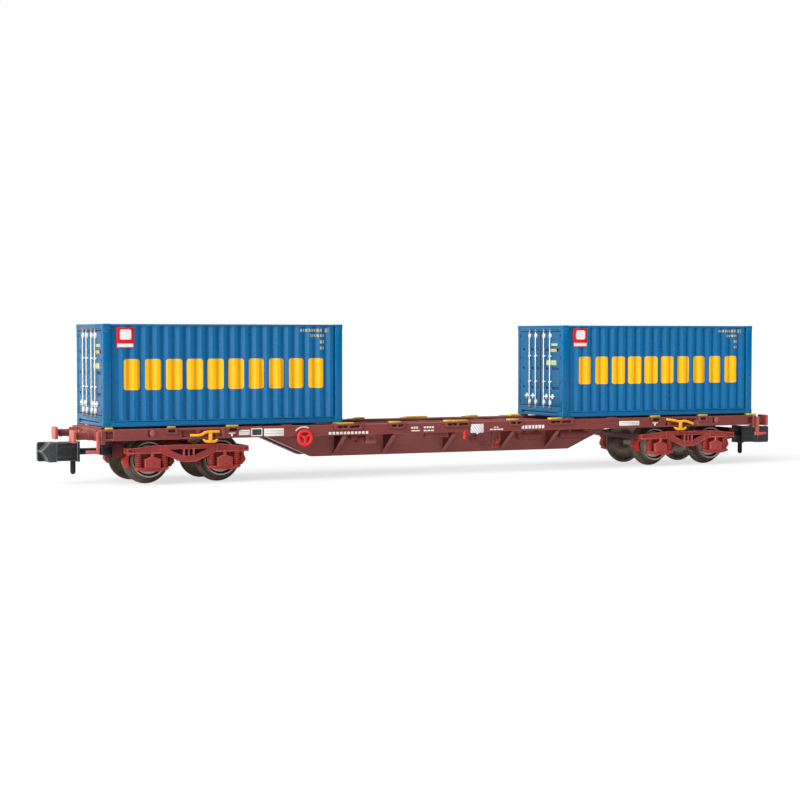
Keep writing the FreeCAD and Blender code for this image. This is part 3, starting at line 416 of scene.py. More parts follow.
# finish: material slot of the record, base, shade and edge colours, and what differs from the defaults
looks = {
    "frameBrown": ("frame_brown", "7c3a36 6c322f b0746c", dict(rough=(0.42, 0.56), grainShare=0.08)),
    "polishedBrown": ("frame_brown", "884844 783c38 b47870",
                      dict(rough=(0.1, 0.16), ior=1.9, bump=0.001, swell=0.002)),
    "paleBrown": ("frame_brown", "92504c 7e423e be8078", dict(rough=(0.42, 0.56))),
    # the girders' brown is lighter and greyer than the frame's: a painted reflection of the floor
    "girderBrown": ("frame_brown", "8a4a46 7a403c ba7c74", dict(rough=(0.36, 0.5), grainShare=0.08)),
    "deepBrown": ("frame_brown", "542421 421b1a 80423c", dict(rough=(0.66, 0.74), ior=1.12)),
    "mauveBrown": ("bogie_red", "603836 4e2c2c 966862", dict(rough=(0.5, 0.6))),
    "shadowBrown": ("frame_brown", "301414 220d0e 542c2a", dict(rough=(0.6, 0.7))),
    "bogieRed": ("bogie_red", "9a3c38 7e2e2c e2766c", dict(rough=(0.4, 0.55), wear=0.8, patch=3.0)),
    "deepRed": ("bogie_red", "702221 54181a a84e48", dict(patch=1.6, rough=(0.5, 0.6))),
    "rimPink": ("bogie_red", "bc5852 a04440 e68c80", dict(patch=1.6)),
    "tipRed": ("bogie_red", "ce3630 b02826 ec786c", dict(patch=1.2)),
    "springRed": ("bogie_red", "9e342e 802826 d66458", dict(patch=2.0, wear=0.5)),
    "darkSlotRed": ("bogie_red", "780e12 54080c 962828", dict(patch=0.6, rough=(0.5, 0.6))),
    "shoeRed": ("bogie_red", "b23226 96281e e67860", dict(patch=2.4, wear=0.7)),
    "coralRed": ("coral_red", "b6524c 9e4442 dc7e72", dict(patch=3.0)),
    "buffingRed": ("frame_brown", "b2625a 96544e d49286", dict(patch=1.2)),
    "brightRed": ("bright_red", "ec282c ce1820 ff6e60", dict(patch=2.0, rough=(0.3, 0.42))),
    "spigotYellow": ("spigot_yellow", "d6b42c b48c24 f2dc60", dict(patch=1.6, wear=0.7, patchShare=0.7)),
    "leverYellow": ("lever_yellow", "f6aa18 de8a0c ffce5c", dict(patch=1.6, rough=(0.3, 0.42))),
    "boardWhite": ("board_white", "e8e4e0 ccc6c2 fcfaf8", dict(patch=1.0)),
    "signGrey": ("board_white", "344242 243032 606c6c", dict(patch=1.0)),
    "couplerBlack": ("coupler_black", "202122 161718 7c7e7c",
                     dict(patch=2.4, wear=0.7, rough=(0.4, 0.55), grainShare=0.08)),
    "couplerSlate": ("coupler_black", "3b3e40 2e3133 9c9e9c",
                     dict(patch=2.0, wear=0.8, rough=(0.4, 0.55), grainShare=0.1)),
    "rodWhite": ("rod_white", "e2e2e0 c8c8c6 f8f6f2", dict(patch=1.6, rough=(0.34, 0.48))),
    "tipTan": ("rod_white", "96826a 746454 c4b49c", dict(patch=0.8)),
    "gasketDark": ("container_blue", "1e222c 141820 3c4c60", dict(patch=2.0, rough=(0.5, 0.65))),
    "screwSteel": ("frame_brown", "96928c 706c68 cecac4", dict(metallic=0.9, rough=(0.25, 0.4))),
    "groundBlue": ("container_blue", "00325c 00264a 1e608c", dict(patch=3.0)),
    "placardRed": ("container_blue", "d40c16 c20610 f05048", dict(patch=2.0, wear=0.2)),
    "labelYellow": ("container_blue", "b0b878 96a478 d6d696", dict(patch=0.6, patchShare=0.9)),
    "labelOrange": ("container_blue", "bea05a a08c60 e6c88c", dict(patch=0.6, patchShare=0.9)),
}
for name, look in looks.items():
    makeFinish(name, *look)
print("finishes made")


def span(centre, half):
    return (centre - half, centre + half)


sill = {
    "web": (6.5, 7.72, 8.3),        # |y| of the flanges' inner edge, pocket floor and outer face
    "flange": 0.3,
    "pocketEnds": (-56.1, -45.9, -39.3),
    "run": 0.7,                     # length of a pocket's sloping ends
    "slant": 0.4,                   # lean of a pocket's ends
    "bosses": ((-50.15, 1.0), (49.6, 1.7)),     # x, and width of the painted shadow beside each
    "boss": (7.7, 0.5),             # z and radius
    "bulges": ((-43.1, 7.85, 0.42), (-40.1, 7.3, 0.4)),
}


def sideSills():
    low, high = nodeBox("side_sills")
    inner, floor, outer = sill["web"]
    flange, lean, run = sill["flange"], sill["slant"] / 2, sill["run"]
    x = (low.x, high.x)
    for z in ((low.z, low.z + flange), (high.z - flange, high.z)):
        yield bothSides, block(x, (-outer + 0.02, -inner), z, 0.05)
    yield bothSides, block(x, (-floor, -floor + 0.35), (low.z + 0.1, high.z - 0.1), 0.03)
    end, start, stop = sill["pocketEnds"]
    z0, z1 = low.z + 0.01, high.z - 0.01
    middlePart = [(stop + lean, z0), (-stop - lean, z0), (-stop + lean, z1), (stop - lean, z1)]
    endPart = [(end, z0), (start + lean, z0), (start - lean, z1), (end, z1)]
    for outline, slopes, copies in ((middlePart, ((stop, -run), (-stop, run)), bothSides),
                                    (endPart, ((start, run),), fourCorners)):
        slab = plate("xz", outline, (-outer, -floor + 0.1), 0.0)
        for at, push in slopes:
            bmesh.ops.translate(slab, vec=(push, 0, 0), verts=[
                vert for vert in slab.verts if vert.co.y > -floor and abs(vert.co.x - at) < sill["slant"]])
        softenEdges(slab, 0.07, 3)
        yield copies, slab
    # arched painted shadow under the top flange, at the top of the end recess
    arch = [(-57.12, 7.8), (-56.95, 8.05), (-56.65, 8.16), (-56.35, 8.05), (-56.18, 7.8)]
    yield fourCorners, plate("xz", thickLine(arch, 0.09), (-floor - 0.02, -floor + 0.05), 0.0, paint=1)
    skin = -outer + 0.02
    bossZ, radius = sill["boss"]
    for x, wide in sill["bosses"]:
        # the dome is a paler brown: a painted highlight
        dome = [(skin, 0), (skin, radius), (skin - 0.12, radius), (skin - 0.26, radius * 0.6),
                (skin - 0.3, 0)]
        yield oppositeCorners, turned(dome, "y", (x, 0, bossZ), 24, 2)
        # painted shadow at one side of each boss
        x -= radius + 0.12
        notch = [(x - 0.1 * wide, 7.2), (x + 0.12, 7.12), (x + 0.2, 7.4), (x + 0.12, 7.7), (x + 0.2, 8.05),
                 (x + 0.05, 8.2), (x - 0.12 * wide, 8.12)]
        yield oppositeCorners, plate("xz", notch, (-outer - 0.012, skin), 0.0, paint=1)
    for x, z, radius in sill["bulges"]:
        bulge = [(skin, 0), (-outer + 0.06, radius * 0.7), (-outer + 0.16, radius), (-floor, radius),
                 (-floor, 0)]
        yield fourCorners, turned(bulge, "y", (x, 0, z), 20)


girder = {"outer": 3.4, "web": 0.4, "flangeIn": 2.0, "flange": 0.35, "flat": 23.1, "slopeFoot": 7.45,
          "stiffeners": (5.3, 14.8, 23.1)}      # |x| of the upright stiffeners inside


def centreGirders():
    low, high = nodeBox("center_girders")
    outer, flat, foot, flange = (girder[key] for key in ("outer", "flat", "slopeFoot", "flange"))
    lower = [(low.x, foot), (-flat, low.z), (flat, low.z), (high.x, foot)]
    web = [(low.x, high.z), *lower, (high.x, high.z)]
    yield plate("xz", web, (-outer, -outer + girder["web"]), 0.05)
    band = [(x, z + 0.015) for x, z in lower + [(x, z + flange) for x, z in reversed(lower)]]
    band = plate("xz", band, (-outer - 0.012, -girder["flangeIn"]), 0.05)
    paintFaces(band, 1, lambda normal: normal.z < -0.7)     # the flange's underside has a polished skin
    yield band
    upper = (high.z - flange, high.z - 0.015)
    yield block((low.x, high.x), (-outer + 0.01, -outer + 1.2), upper, 0.05)
    for x in girder["stiffeners"]:
        yield fourCorners, block(span(x, 0.15), (-outer + 0.2, -outer + 1.1),
                                 (low.z + 0.2, high.z - 0.2), 0.03)


outrigger = {"x": (-19.05, -10.6, 0.0, 10.6, 19.05), "plate": 0.46, "flange": (-0.5, 0.15), "head": 7.3,
             "foot": 3.55, "girder": 3.4, "flangeThick": 0.28}


def outriggers():
    top = nodeBox("outriggers")[1].z
    foot, girderY, head, thick = (outrigger[key] for key in ("foot", "girder", "head", "flangeThick"))
    body = [(-girderY, top), (-7.6, top), (-7.6, 7.0), (-6.55, 7.0), (-6.55, 6.72), (-head, 6.7),
            (-head, 6.5), (-girderY, foot)]
    edge = [(-girderY, foot), (-head, 6.5), (-head, 6.5 - thick), (-girderY, foot - thick)]
    for x in outrigger["x"]:
        web = plate("yz", body, span(x, outrigger["plate"] / 2), 0.04)
        # the plate's sides are a darker brown: painted shade
        paintFaces(web, 1, lambda normal: abs(normal.x) > 0.7)
        yield web
        # the flange is the paler brown: painted light
        yield plate("yz", edge, [x + side for side in outrigger["flange"]], 0.06, paint=2)


headstock = {
    "cornerIn": 7.2, "cornerFoot": 6.2, "bolt": 0.16, "plateEdge": 0.08, "ribTop": 8.62,
    "bolts": ((2.6, 7.0), (2.6, 7.9), (3.7, 7.0), (3.7, 7.9)),      # |y|, z on the end face
}


def headstocks():
    low, high = nodeBox("headstocks")
    face, back, top = low.x, low.x + 0.8, high.z
    yield bothEnds, block((face, back), span(0, 6.9), (6.7, top), headstock["plateEdge"])
    # rounded corner post at each side
    corner = ((-8.3, -headstock["cornerIn"]), (headstock["cornerFoot"], top))
    yield fourCorners, block((face, back), *corner, 0.16)
    yield fourCorners, block((face + 0.1, back), (-7.4, -6.7), (6.75, top - 0.02), 0.05)
    yield bothEnds, block((face - 0.08, face + 0.1), span(0, 1.3), (6.95, 8.2), 0.04)
    yield bothEnds, block((back - 0.35, back), span(0, 6.6), (top - 0.1, headstock["ribTop"]), 0.05)
    for y, z in headstock["bolts"]:
        yield fourCorners, rod("x", (face - 0.12, face + 0.1), (-y, z), headstock["bolt"], 6, 0.03)


pads = {
    # yellow pads on the near sill: x0, x1, x of a spigot; the far sill has them turned half round
    "rows": (
        (-57.1, -56.05, -56.53), (-47.7, -46.55, None), (-38.5, -36.75, None), (-21.2, -17.8, -20.47),
        (-11.5, -9.75, None), (-1.95, 1.95, None), (9.45, 11.2, None), (17.15, 19.4, 20.47),
        (36.7, 38.4, None), (46.4, 48.0, None), (56.3, 57.3, 56.53)),
    "y": (6.9, 8.02), "spigotY": 7.1, "spigotHalf": (0.3, 0.2), "low": 8.37, "endPad": (57.2, 58.1),
}


def spigotPads():
    top = nodeBox("left_container_frame")[0].z
    high = nodeBox("spigot_pads")[1].z
    inner, outer = pads["y"]
    halfX, halfY = pads["spigotHalf"]
    heights = (pads["low"], top - 0.01)
    for x0, x1, spigotX in pads["rows"]:
        last = x1 == 57.3
        yield once if last else oppositeCorners, block((x0, x1), (-outer, -inner), heights)
        if spigotX:
            yield oppositeCorners, block(span(spigotX, halfX), span(-pads["spigotY"], halfY),
                                         (top - 0.2, high), 0.09)
    # the last pad runs on over the near headstock, and its opposite number is brown
    yield block(pads["endPad"], (-outer + 0.01, -inner), heights)
    yield block((-x1, -x0), (inner, outer), heights, 0.06, 1)


brackets = {
    # brown lugs on the sill's face under the pads: x, half length, style, shift inwards at the near right
    "rows": ((0.0, 2.3, "lug", 0.0), (10.6, 1.35, "lug", 0.0), (18.9, 2.4, "lug", 0.0),
             (37.7, 1.1, "cup", 0.42), (47.3, 0.95, "frame", 0.5)),
    "face": 8.52, "foot": 7.48, "top": 8.42, "slot": (7.76, 8.2), "skin": 8.3, "line": 0.06,
    # plain seats: beyond the yellow pad at a container's end, and between the pads
    "seats": ((-29.6, -28.2, 8.5), (-21.35, -20.9, 8.6), (20.0, 21.35, 8.6), (28.2, 29.6, 8.5)),
}


def bracketOutline(x, half, style, grow=0.0):
    foot, top = brackets["foot"] - grow, brackets["top"]
    half += grow
    if style == "lug":
        return [(x - half - 0.12, top), (x + half + 0.12, top), (x + half, foot + 0.3),
                (x + half - 0.3, foot), (x - half + 0.3, foot), (x - half, foot + 0.3)]
    if style == "cup":
        bend = [math.pi + math.pi * k / 12 for k in range(13)]
        return [(x - half, top)] + [(x + half * math.cos(angle), 8.2 + (0.74 + grow) * math.sin(angle))
                                    for angle in bend] + [(x + half, top)]
    return [(x - half, top), (x + half, top), (x + half, foot + 0.1), (x + half - 0.15, foot),
            (x - half + 0.15, foot), (x - half, foot + 0.1)]


def bracket(x, half, style):
    face, skin = brackets["face"], brackets["skin"]
    low, high = brackets["slot"]
    if style == "lug":
        slots = [[(x + a * half, low), (x + b * half, low + 0.05), (x + b * half - 0.1, high),
                  (x + a * half + 0.1, high - 0.04)] for a, b in ((-0.82, -0.06), (0.06, 0.82))]
    else:
        lift, wide = (0.1, 0.75) if style == "cup" else (0.05, 0.6)
        slots = [[(x - wide, low + lift), (x - 0.4, low - 0.02), (x + 0.4, low - 0.02),
                  (x + wide, low + lift), (x + 0.5, high), (x - 0.5, high)]]
    yield plate("xz", bracketOutline(x, half, style), (-face, -skin + 0.04), 0.06, holes=slots)
    # painted shadow line round the foot, and painted shade at the bottom of the slot
    line = bracketOutline(x, half, style, brackets["line"])
    yield plate("xz", line, (-skin - 0.02, -skin + 0.03), 0.0, paint=1)
    yield block(span(x, half - 0.25), (-skin - 0.03, -skin + 0.05), (low - 0.04, high + 0.04), 0.0, 1)
    # broken lower edge of a lug's slot
    count = int(half * 2.2) if style == "lug" else 0
    for index in range(count):
        at = x - half + 0.5 + (2 * half - 1.0) * index / max(count - 1, 1)
        tall = 0.1 + 0.08 * ((index * 7) % 3)
        yield block(span(at, 0.13), (-face + 0.03, -skin + 0.02), (low - 0.04, low + tall), 0.03)


def spigotBrackets():
    rows = [(-x, half, style) for x, half, style, _ in brackets["rows"]]
    rows += [(x - shift, half, style) for x, half, style, shift in brackets["rows"] if x > 0]
    for row in rows:
        yield from bracket(*row)
    for x0, x1, high in brackets["seats"]:
        yield block((x0, x1), (-8.44, -7.0), (8.2, high), 0.07)


buffer = {"y": 5.47, "z": 7.35, "thick": 0.45, "width": 2.5, "height": 1.86, "corner": 0.22, "plunger": 0.44,
          "casing": 0.62, "casingLength": 2.75}


def bufferHeads():
    face = nodeBox("buffer_heads")[0].x
    y, z, thick, width, height, corner = (
        buffer[key] for key in ("y", "z", "thick", "width", "height", "corner"))
    outline = roundedOutline(width, height, corner, centre=(-y, z))
    head = plate("yz", outline, (face + 0.02, face + thick), 0.09)
    paintFaces(head, 3, lambda normal: normal.x > 0.7)
    yield head
    # flatter buffing face let into the head
    inner = roundedOutline(width - 0.24, height - 0.24, corner, centre=(-y, z))
    yield plate("yz", inner, (face, face + 0.1), 0.03, paint=1)
    ends = (face + thick - 0.05, face + thick + 0.7)
    yield rod("x", ends, (-y, z), buffer["plunger"], 24, paint=2)


def bufferCasings():
    stock = nodeBox("headstocks")[0].x
    y, z, radius, start = buffer["y"], buffer["z"], buffer["casing"], stock - buffer["casingLength"]
    tube = [(start, 0), (start, radius - 0.1), (start + 0.06, radius - 0.03), (start + 0.5, radius - 0.03),
            (start + 0.54, radius - 0.08), (start + 1.5, radius - 0.06), (start + 1.56, radius),
            (stock - 0.35, radius + 0.02), (stock - 0.25, radius + 0.12), (stock, radius + 0.12), (stock, 0)]
    yield turned(tube, "x", (0, -y, z), 36)
    yield block((stock - 0.25, stock + 0.1), span(-y, 0.95), (z - 0.62, z + 0.95))
    for dy, dz in ((-0.75, -0.42), (0.75, -0.42), (-0.75, 0.75), (0.75, 0.75)):
        yield rod("x", (stock - 0.33, stock - 0.2), (-y + dy, z + dz), 0.12, 6, 0.02)


drawHook = {
    "half": 0.2,
    # x from the headstock's face, z
    "outline": ((0.1, 7.4), (-0.9, 7.35), (-1.2, 7.5), (-1.2, 8.0), (-1.08, 8.1), (-0.92, 8.02), (-0.9, 7.78),
                (-0.75, 7.7), (0.1, 7.72)),
}


def drawHooks():
    stock = nodeBox("headstocks")[0].x
    yield plate("xz", [(stock + x, z) for x, z in drawHook["outline"]], span(0, drawHook["half"]))


cornerHandle = {"y": (-8.3, -7.9), "upright": (0.56, 0.1)}      # upright: reach before the headstock's face


def cornerHandles():
    low, high = nodeBox("corner_handles")
    stock = nodeBox("headstocks")[0].x
    y0, y1 = cornerHandle["y"]
    front, back = (stock - reach for reach in cornerHandle["upright"])
    yield block((front, back), (y0, y1), (low.z + 0.05, high.z), 0.1)
    yield block((stock - 0.2, stock + 0.05), (y0 + 0.1, y1 - 0.06), (7.5, high.z - 0.15), 0.06, 1)
    foot = [(low.x, low.z + 0.16), (stock - 0.6, low.z + 0.02), (stock - 0.12, low.z),
            (stock - 0.12, low.z + 0.5), (stock - 0.6, low.z + 0.52), (low.x, low.z + 0.56)]
    yield plate("xz", foot, (y0 + 0.01, y1 - 0.01), 0.08)
    # darker back edge of the upright, and its heel, where they show
    heels = (endToEnd, sideToSide)
    yield heels, block((stock - 0.2, stock + 0.1), (y0 + 0.04, y1), (low.z + 0.4, high.z - 0.1), 0.06, 2)
    yield heels, block((stock - 0.2, stock + 0.3), (y0 + 0.02, y1), (low.z + 0.06, low.z + 0.56), 0.12)


handwheel = {"in": 1.35, "y": -8.85, "rim": 0.26, "radius": 1.06, "hub": 0.34, "spokes": (30, 150, 270),
             "shaft": 0.18, "shaftEnd": -3.4}


def brakeHandwheels():
    low, high = nodeBox("brake_handwheels")
    x, y, z, radius = low.x + handwheel["in"], handwheel["y"], (low.z + high.z) / 2, handwheel["radius"]
    rim = wound(radius, handwheel["rim"], 12, 48)
    bmesh.ops.transform(rim, matrix=toAxis["y"], verts=rim.verts)
    stretch(rim, (1, 0.8, 1))
    move(rim, (x, y, z))
    yield rim
    for angle in handwheel["spokes"]:
        turn = Matrix.Translation((x, 0, z)) @ Matrix.Rotation(-math.radians(angle), 4, "Y")
        yield (turn, halfTurn @ turn), block((0.1, radius), (y - 0.1, y + 0.12), span(0, 0.17))
    for ends, thick, sides, edge, paint in ((span(y, 0.2), handwheel["hub"], 24, 0.08, 0),
                                            ((y - 0.23, y), 0.14, 16, 0.05, 0),
                                            ((y, handwheel["shaftEnd"]), handwheel["shaft"], 16, 0.02, 1)):
        yield rod("y", ends, (x, z), thick, sides, edge, paint)


levers = {
    # near-side levers: bends of the bar, then the middle of the anchor weight
    "rows": (
        (((-44.5, 7.28), (-43.1, 7.26), (-42.65, 7.36), (-42.15, 7.68), (-41.7, 7.76), (-39.9, 7.76)),
         -41.35),
        (((39.3, 8.0), (40.6, 7.84), (41.7, 7.62), (42.2, 7.62), (42.9, 7.66), (43.7, 7.5), (44.7, 7.14)),
         42.1)),
    "weight": ((-1.2, 6.5), (-1.22, 6.62), (-1.0, 6.68), (-0.72, 6.55), (-0.3, 6.5), (0.3, 6.5), (0.72, 6.52),
               (0.95, 6.66), (1.18, 6.62), (1.16, 6.45), (0.85, 6.17), (0.4, 6.1), (-0.5, 6.1), (-0.9, 6.2)),
    "half": 0.19, "y": (-8.7, -8.3), "stem": 0.27, "stemZ": (6.3, 7.55),
}


def changeoverLevers():
    for bends, x in levers["rows"]:
        yield plate("xz", thickLine(bends, levers["half"]), levers["y"], 0.1, segments=3)
        yield block(span(x, levers["stem"]), levers["y"], levers["stemZ"], 0.09)
        weight = [(x + dx, z) for dx, z in levers["weight"]]
        yield plate("xz", weight, levers["y"], 0.09, segments=3)


releaseLever = {
    "upright": ((1.06, 5.62), (1.34, 5.6), (1.44, 5.78), (1.36, 6.2), (1.42, 6.7), (1.36, 7.0), (1.14, 7.0),
                (1.05, 6.7), (1.1, 6.2), (1.02, 5.85)),
    "uprightY": (-8.42, -8.0),
    "arm": ((7.25, 4.12), (7.7, 4.1), (8.35, 4.95), (8.62, 5.2), (8.55, 5.48), (8.2, 5.5), (7.95, 5.1)),
    "armY": (-6.75, -6.45),
}


def releaseLevers():
    yield plate("xz", releaseLever["upright"], releaseLever["uprightY"])
    yield plate("xz", releaseLever["arm"], releaseLever["armY"], 0.07, segments=3)


tank = {"rows": ((12.1, 16.9), (20.1, 25.7)), "y": -5.5, "z": 5.75, "radius": 0.75, "strap": 0.2}


def airReservoirs():
    radius, y, z = tank["radius"], tank["y"], tank["z"]
    half = ((0, 0), (0.06, 0.35), (0.2, 0.6), (0.42, radius - 0.03), (0.6, radius), (0.62, radius - 0.02))
    for start, stop in tank["rows"]:
        profile = [(start + along, out) for along, out in half]
        profile += [(stop - along, out) for along, out in half[::-1]]
        yield turned(profile, "x", (0, y, z), 36)
        for x in (start + 1.2, stop - 1.2):
            a, b = strap = span(x, tank["strap"])
            yield block(strap, (-7.2, y), (6.3, 6.7), 0.04)
            yield turned([(a, 0.7), (a, radius + 0.05), (b, radius + 0.05), (b, 0.7)], "x", (0, y, z), 36)
        yield rod("z", (z - radius - 0.12, z - 0.3), ((start + stop) / 2, y), 0.14, 12, 0.03)


brakeGear = {
    "loadBox": ((-5.5, -1.5), (-8.1, -7.1), (6.0, 6.7)), "ribs": 5,
    "bracket": (    # x, y, z limits, edge, paint
        ((6.7, 7.02), (-7.3, -6.95), (4.2, 6.7), 0.05), ((7.9, 8.2), (-7.3, -6.95), (4.9, 6.7), 0.05),
        ((6.7, 8.2), (-7.3, -6.95), (4.0, 4.3), 0.05), ((7.3, 7.7), (-6.95, -6.7), (4.05, 4.3), 0.05),
        ((6.74, 7.0), (-7.0, -3.4), (4.22, 4.46), 0.05)),
    "valve": (((3.3, 4.5), (-6.5, -5.5), (5.3, 5.6), 0.05), ((3.75, 4.05), (-7.2, -5.6), (6.35, 6.68), 0.04)),
    "distributor": (
        ((-15.4, -13.6), (-6.95, -5.4), (5.24, 6.3), 0.07, 1),
        ((-15.3, -13.7), (-6.9, -5.5), (6.25, 6.66), 0.05, 1),
        ((-15.46, -13.54), (-7.02, -5.35), (5.62, 5.78), 0.04, 1),
        ((-17.75, -16.75), (-6.9, -5.4), (5.87, 6.45), 0.07),
        ((-16.65, -15.5), (-6.8, -5.4), (5.35, 6.3), 0.08), ((-17.6, -15.0), (-6.5, -5.5), (6.3, 6.7), 0.04)),
    "covers": ((-16.08, 0.36), (-14.5, 0.3)),       # x and radius of the distributor's round covers
}


def brakeEquipment():
    (x0, x1), (y0, y1), (z0, z1) = brakeGear["loadBox"]
    ribs = brakeGear["ribs"]
    yield block((x0 + 0.03, x1 - 0.03), (y0 + 0.14, y1), (z0 + 0.08, z1 - 0.01), 0.05)
    yield block((x0, x1), (y0 + 0.01, y1 - 0.02), (z0, z0 + 0.17), 0.05)
    for index in range(ribs):
        at = x0 + 1.6 + (x1 - x0 - 1.8) * index / (ribs - 1)
        yield block(span(at, 0.07), (y0 + 0.02, y1 - 0.04), (z0 + 0.1, z1 - 0.03), 0.03)
    yield from (block(*row) for row in brakeGear["bracket"])
    yield rod("y", (-7.45, -6.9), (7.0, 4.85), 0.26, 20, 0.06)
    yield turned([(5.0, 0), (5.0, 0.45), (5.2, 0.6), (5.9, 0.6), (6.1, 0.4), (6.7, 0.35), (6.7, 0)], "z",
                 (3.9, -6.0, 0), 28)
    yield from (block(*row) for row in brakeGear["valve"] + brakeGear["distributor"])
    for x, radius in brakeGear["covers"]:
        profile = [(-7.12, 0), (-7.12, radius - 0.12), (-7.06, radius), (-6.75, radius), (-6.75, 0)]
        yield turned(profile, "y", (x, 0, 5.92), 24)
    yield rod("x", (-18.6, -17.6), (-6.1, 6.1), 0.12, 12)


pullRod = {"half": 25.5, "z": 5.2, "radius": 0.22, "cylinder": (-8.0, -2.5, 1.1),
           "hangers": (-19.05, 0.0, 10.6, 19.05)}


def brakePullRod():
    half, z = pullRod["half"], pullRod["z"]
    yield rod("x", (-half, half), (0, z), pullRod["radius"], 16)
    start, stop, radius = pullRod["cylinder"]
    profile = [(start, 0), (start, radius - 0.2), (start + 0.15, radius), (start + 0.45, radius),
               (start + 0.5, radius - 0.1), (stop - 0.8, radius - 0.1), (stop - 0.7, radius),
               (stop - 0.45, radius), (stop - 0.4, radius - 0.35), (stop, radius - 0.5), (stop, 0)]
    yield turned(profile, "x", (0, 0, z), 36)
    for x in pullRod["hangers"]:
        yield block(span(x, 0.2), span(0, 0.25), (z, 6.6), 0.04)
    for x in (-half + 0.5, half - 0.5):
        yield rod("y", span(0, 0.35), (x, z), 0.36, 20)


boards = {
    "face": -8.3,
    # x0, x1, z0, z1
    "blank": ((-36.8, -35.05, 7.12, 7.88), (-32.75, -29.6, 6.85, 8.0), (30.1, 34.0, 7.1, 7.85)),
    "sign": (-34.85, -33.05, 6.9, 8.1),
    "dashes": (     # x0, x1, z, height, dash, gap
        (-22.2, -15.5, 7.05, 0.4, 0.42, 0.2), (-8.2, -6.7, 7.6, 0.28, 0.3, 0.14),
        (-8.2, -6.7, 7.12, 0.16, 1.5, 0.3), (-6.0, -4.05, 7.62, 0.26, 0.34, 0.14),
        (-6.0, -4.05, 7.1, 0.2, 0.5, 0.14), (6.5, 7.6, 7.38, 0.16, 0.34, 0.14),
        (5.8, 8.3, 7.02, 0.2, 0.5, 0.12), (11.6, 16.3, 7.28, 0.56, 0.44, 0.18)),
    "tees": ((-37.95, 7.45), (37.05, 7.45)),
    "arc": (6.42, 1.72),     # z and radius of the arc over a handwheel
}


def markingBoards():
    face = boards["face"]
    for x0, x1, z0, z1 in boards["blank"]:
        yield block((x0, x1), (face - 0.04, face + 0.02), (z0, z1), 0.02)
        for share in (0.36, 0.68):      # two faint rules across the blank board
            rule = span(z0 + (z1 - z0) * share, 0.025)
            yield block((x0 + 0.15, x1 - 0.15), (face - 0.045, face), rule, 0.0, 1)
    x0, x1, z0, z1 = boards["sign"]
    centre = ((x0 + x1) / 2, (z0 + z1) / 2)
    outer = roundedOutline(x1 - x0, z1 - z0, 0.18, centre=centre)
    inner = roundedOutline(x1 - x0 - 0.3, z1 - z0 - 0.3, 0.1, centre=centre)
    yield plate("xz", outer, (face - 0.06, face), 0.02, holes=[inner])
    yield plate("xz", inner, (face - 0.03, face), 0.0, paint=2)
    thin = (face - 0.02, face + 0.01)
    for at, stop, z, height, dash, gap in boards["dashes"]:
        while at + dash <= stop + 0.01:
            yield block((at, at + dash), thin, span(z, height / 2), 0.0)
            at += dash + gap
    for x, z in boards["tees"]:
        yield block(span(x, 0.5), (-8.53, -8.45), span(z, 0.07), 0.0)
        yield block(span(x, 0.09), (-8.53, -8.28), (z - 0.45, z), 0.0)
    x = nodeBox("brake_handwheels")[0].x + handwheel["in"]
    z, radius = boards["arc"]
    yield plate("xz", thickLine(circlePoints(radius, x, z, range(62, 146, 7)), 0.1), thin, 0.0)


pennant = {"x": (2.3, 4.6), "z": (6.55, 7.95), "point": 0.3, "hatch": 0.36, "hatchTurn": 38}


def hatches(place, plain):
    # fine grey-blue slanting hatches
    axes = localAxes(place, Rotation=(0, math.radians(pennant["hatchTurn"]), 0))
    masks = [between(sums("FRACT", sums("DIVIDE", axes[name], pennant["hatch"])), 0.0, share)
             for name, share in (("X", 0.42), ("Z", 0.8))]
    return blendColour(times(*masks), plain, colour("96a4b2"))


def instructionPlates():
    (x0, x1), (z0, z1), point = pennant["x"], pennant["z"], pennant["point"]
    centre = (x0 + x1) / 2
    outline = [(x0, z1), (x1, z1), (x1, z0), (centre + point, z0), (centre, z0 - 0.28), (centre - point, z0),
               (x0, z0)]
    yield plate("xz", outline, (-8.42, -8.3), 0.03)


makeFinish("hatchedWhite", "board_white", "eceae8 d6d2d0 fcfaf8", {"patch": 1.0}, base=hatches)
finishPiece("sideSills", sideSills(), "frameBrown shadowBrown paleBrown", repaint=(
    lambda face: abs(face.calc_center_median().y) < sill["web"][1] - 0.1, 2))      # floors of the pockets and other inward faces, in the paler brown as painted light
for name, shapes, usual, paints in (
        ("centreGirders", centreGirders, bothSides, "girderBrown polishedBrown"),
        ("outriggers", outriggers, bothSides, "frameBrown deepBrown paleBrown"),
        ("headstocks", headstocks, once, "frameBrown"),
        ("spigotPads", spigotPads, once, "spigotYellow frameBrown"),
        ("spigotBrackets", spigotBrackets, oppositeCorners, "frameBrown shadowBrown"),
        ("bufferHeads", bufferHeads, fourCorners, "coralRed buffingRed frameBrown bogieRed"),
        ("bufferCasings", bufferCasings, fourCorners, "frameBrown"),
        ("drawHooks", drawHooks, bothEnds, "buffingRed"),
        ("cornerHandles", cornerHandles, fourCorners, "coralRed frameBrown bogieRed"),
        ("brakeHandwheels", brakeHandwheels, oppositeCorners, "brightRed frameBrown"),
        ("changeoverLevers", changeoverLevers, oppositeCorners, "leverYellow"),
        ("releaseLevers", releaseLevers, once, "brightRed"),
        ("airReservoirs", airReservoirs, once, "frameBrown"),
        ("brakeEquipment", brakeEquipment, once, "frameBrown paleBrown"),
        ("brakePullRod", brakePullRod, once, "deepBrown"),
        ("markingBoards", markingBoards, oppositeCorners, "boardWhite frameBrown signGrey"),
        ("instructionPlates", instructionPlates, oppositeCorners, "hatchedWhite")):
    finishPiece(name, shapes(), paints, usual)
print("wagon made")


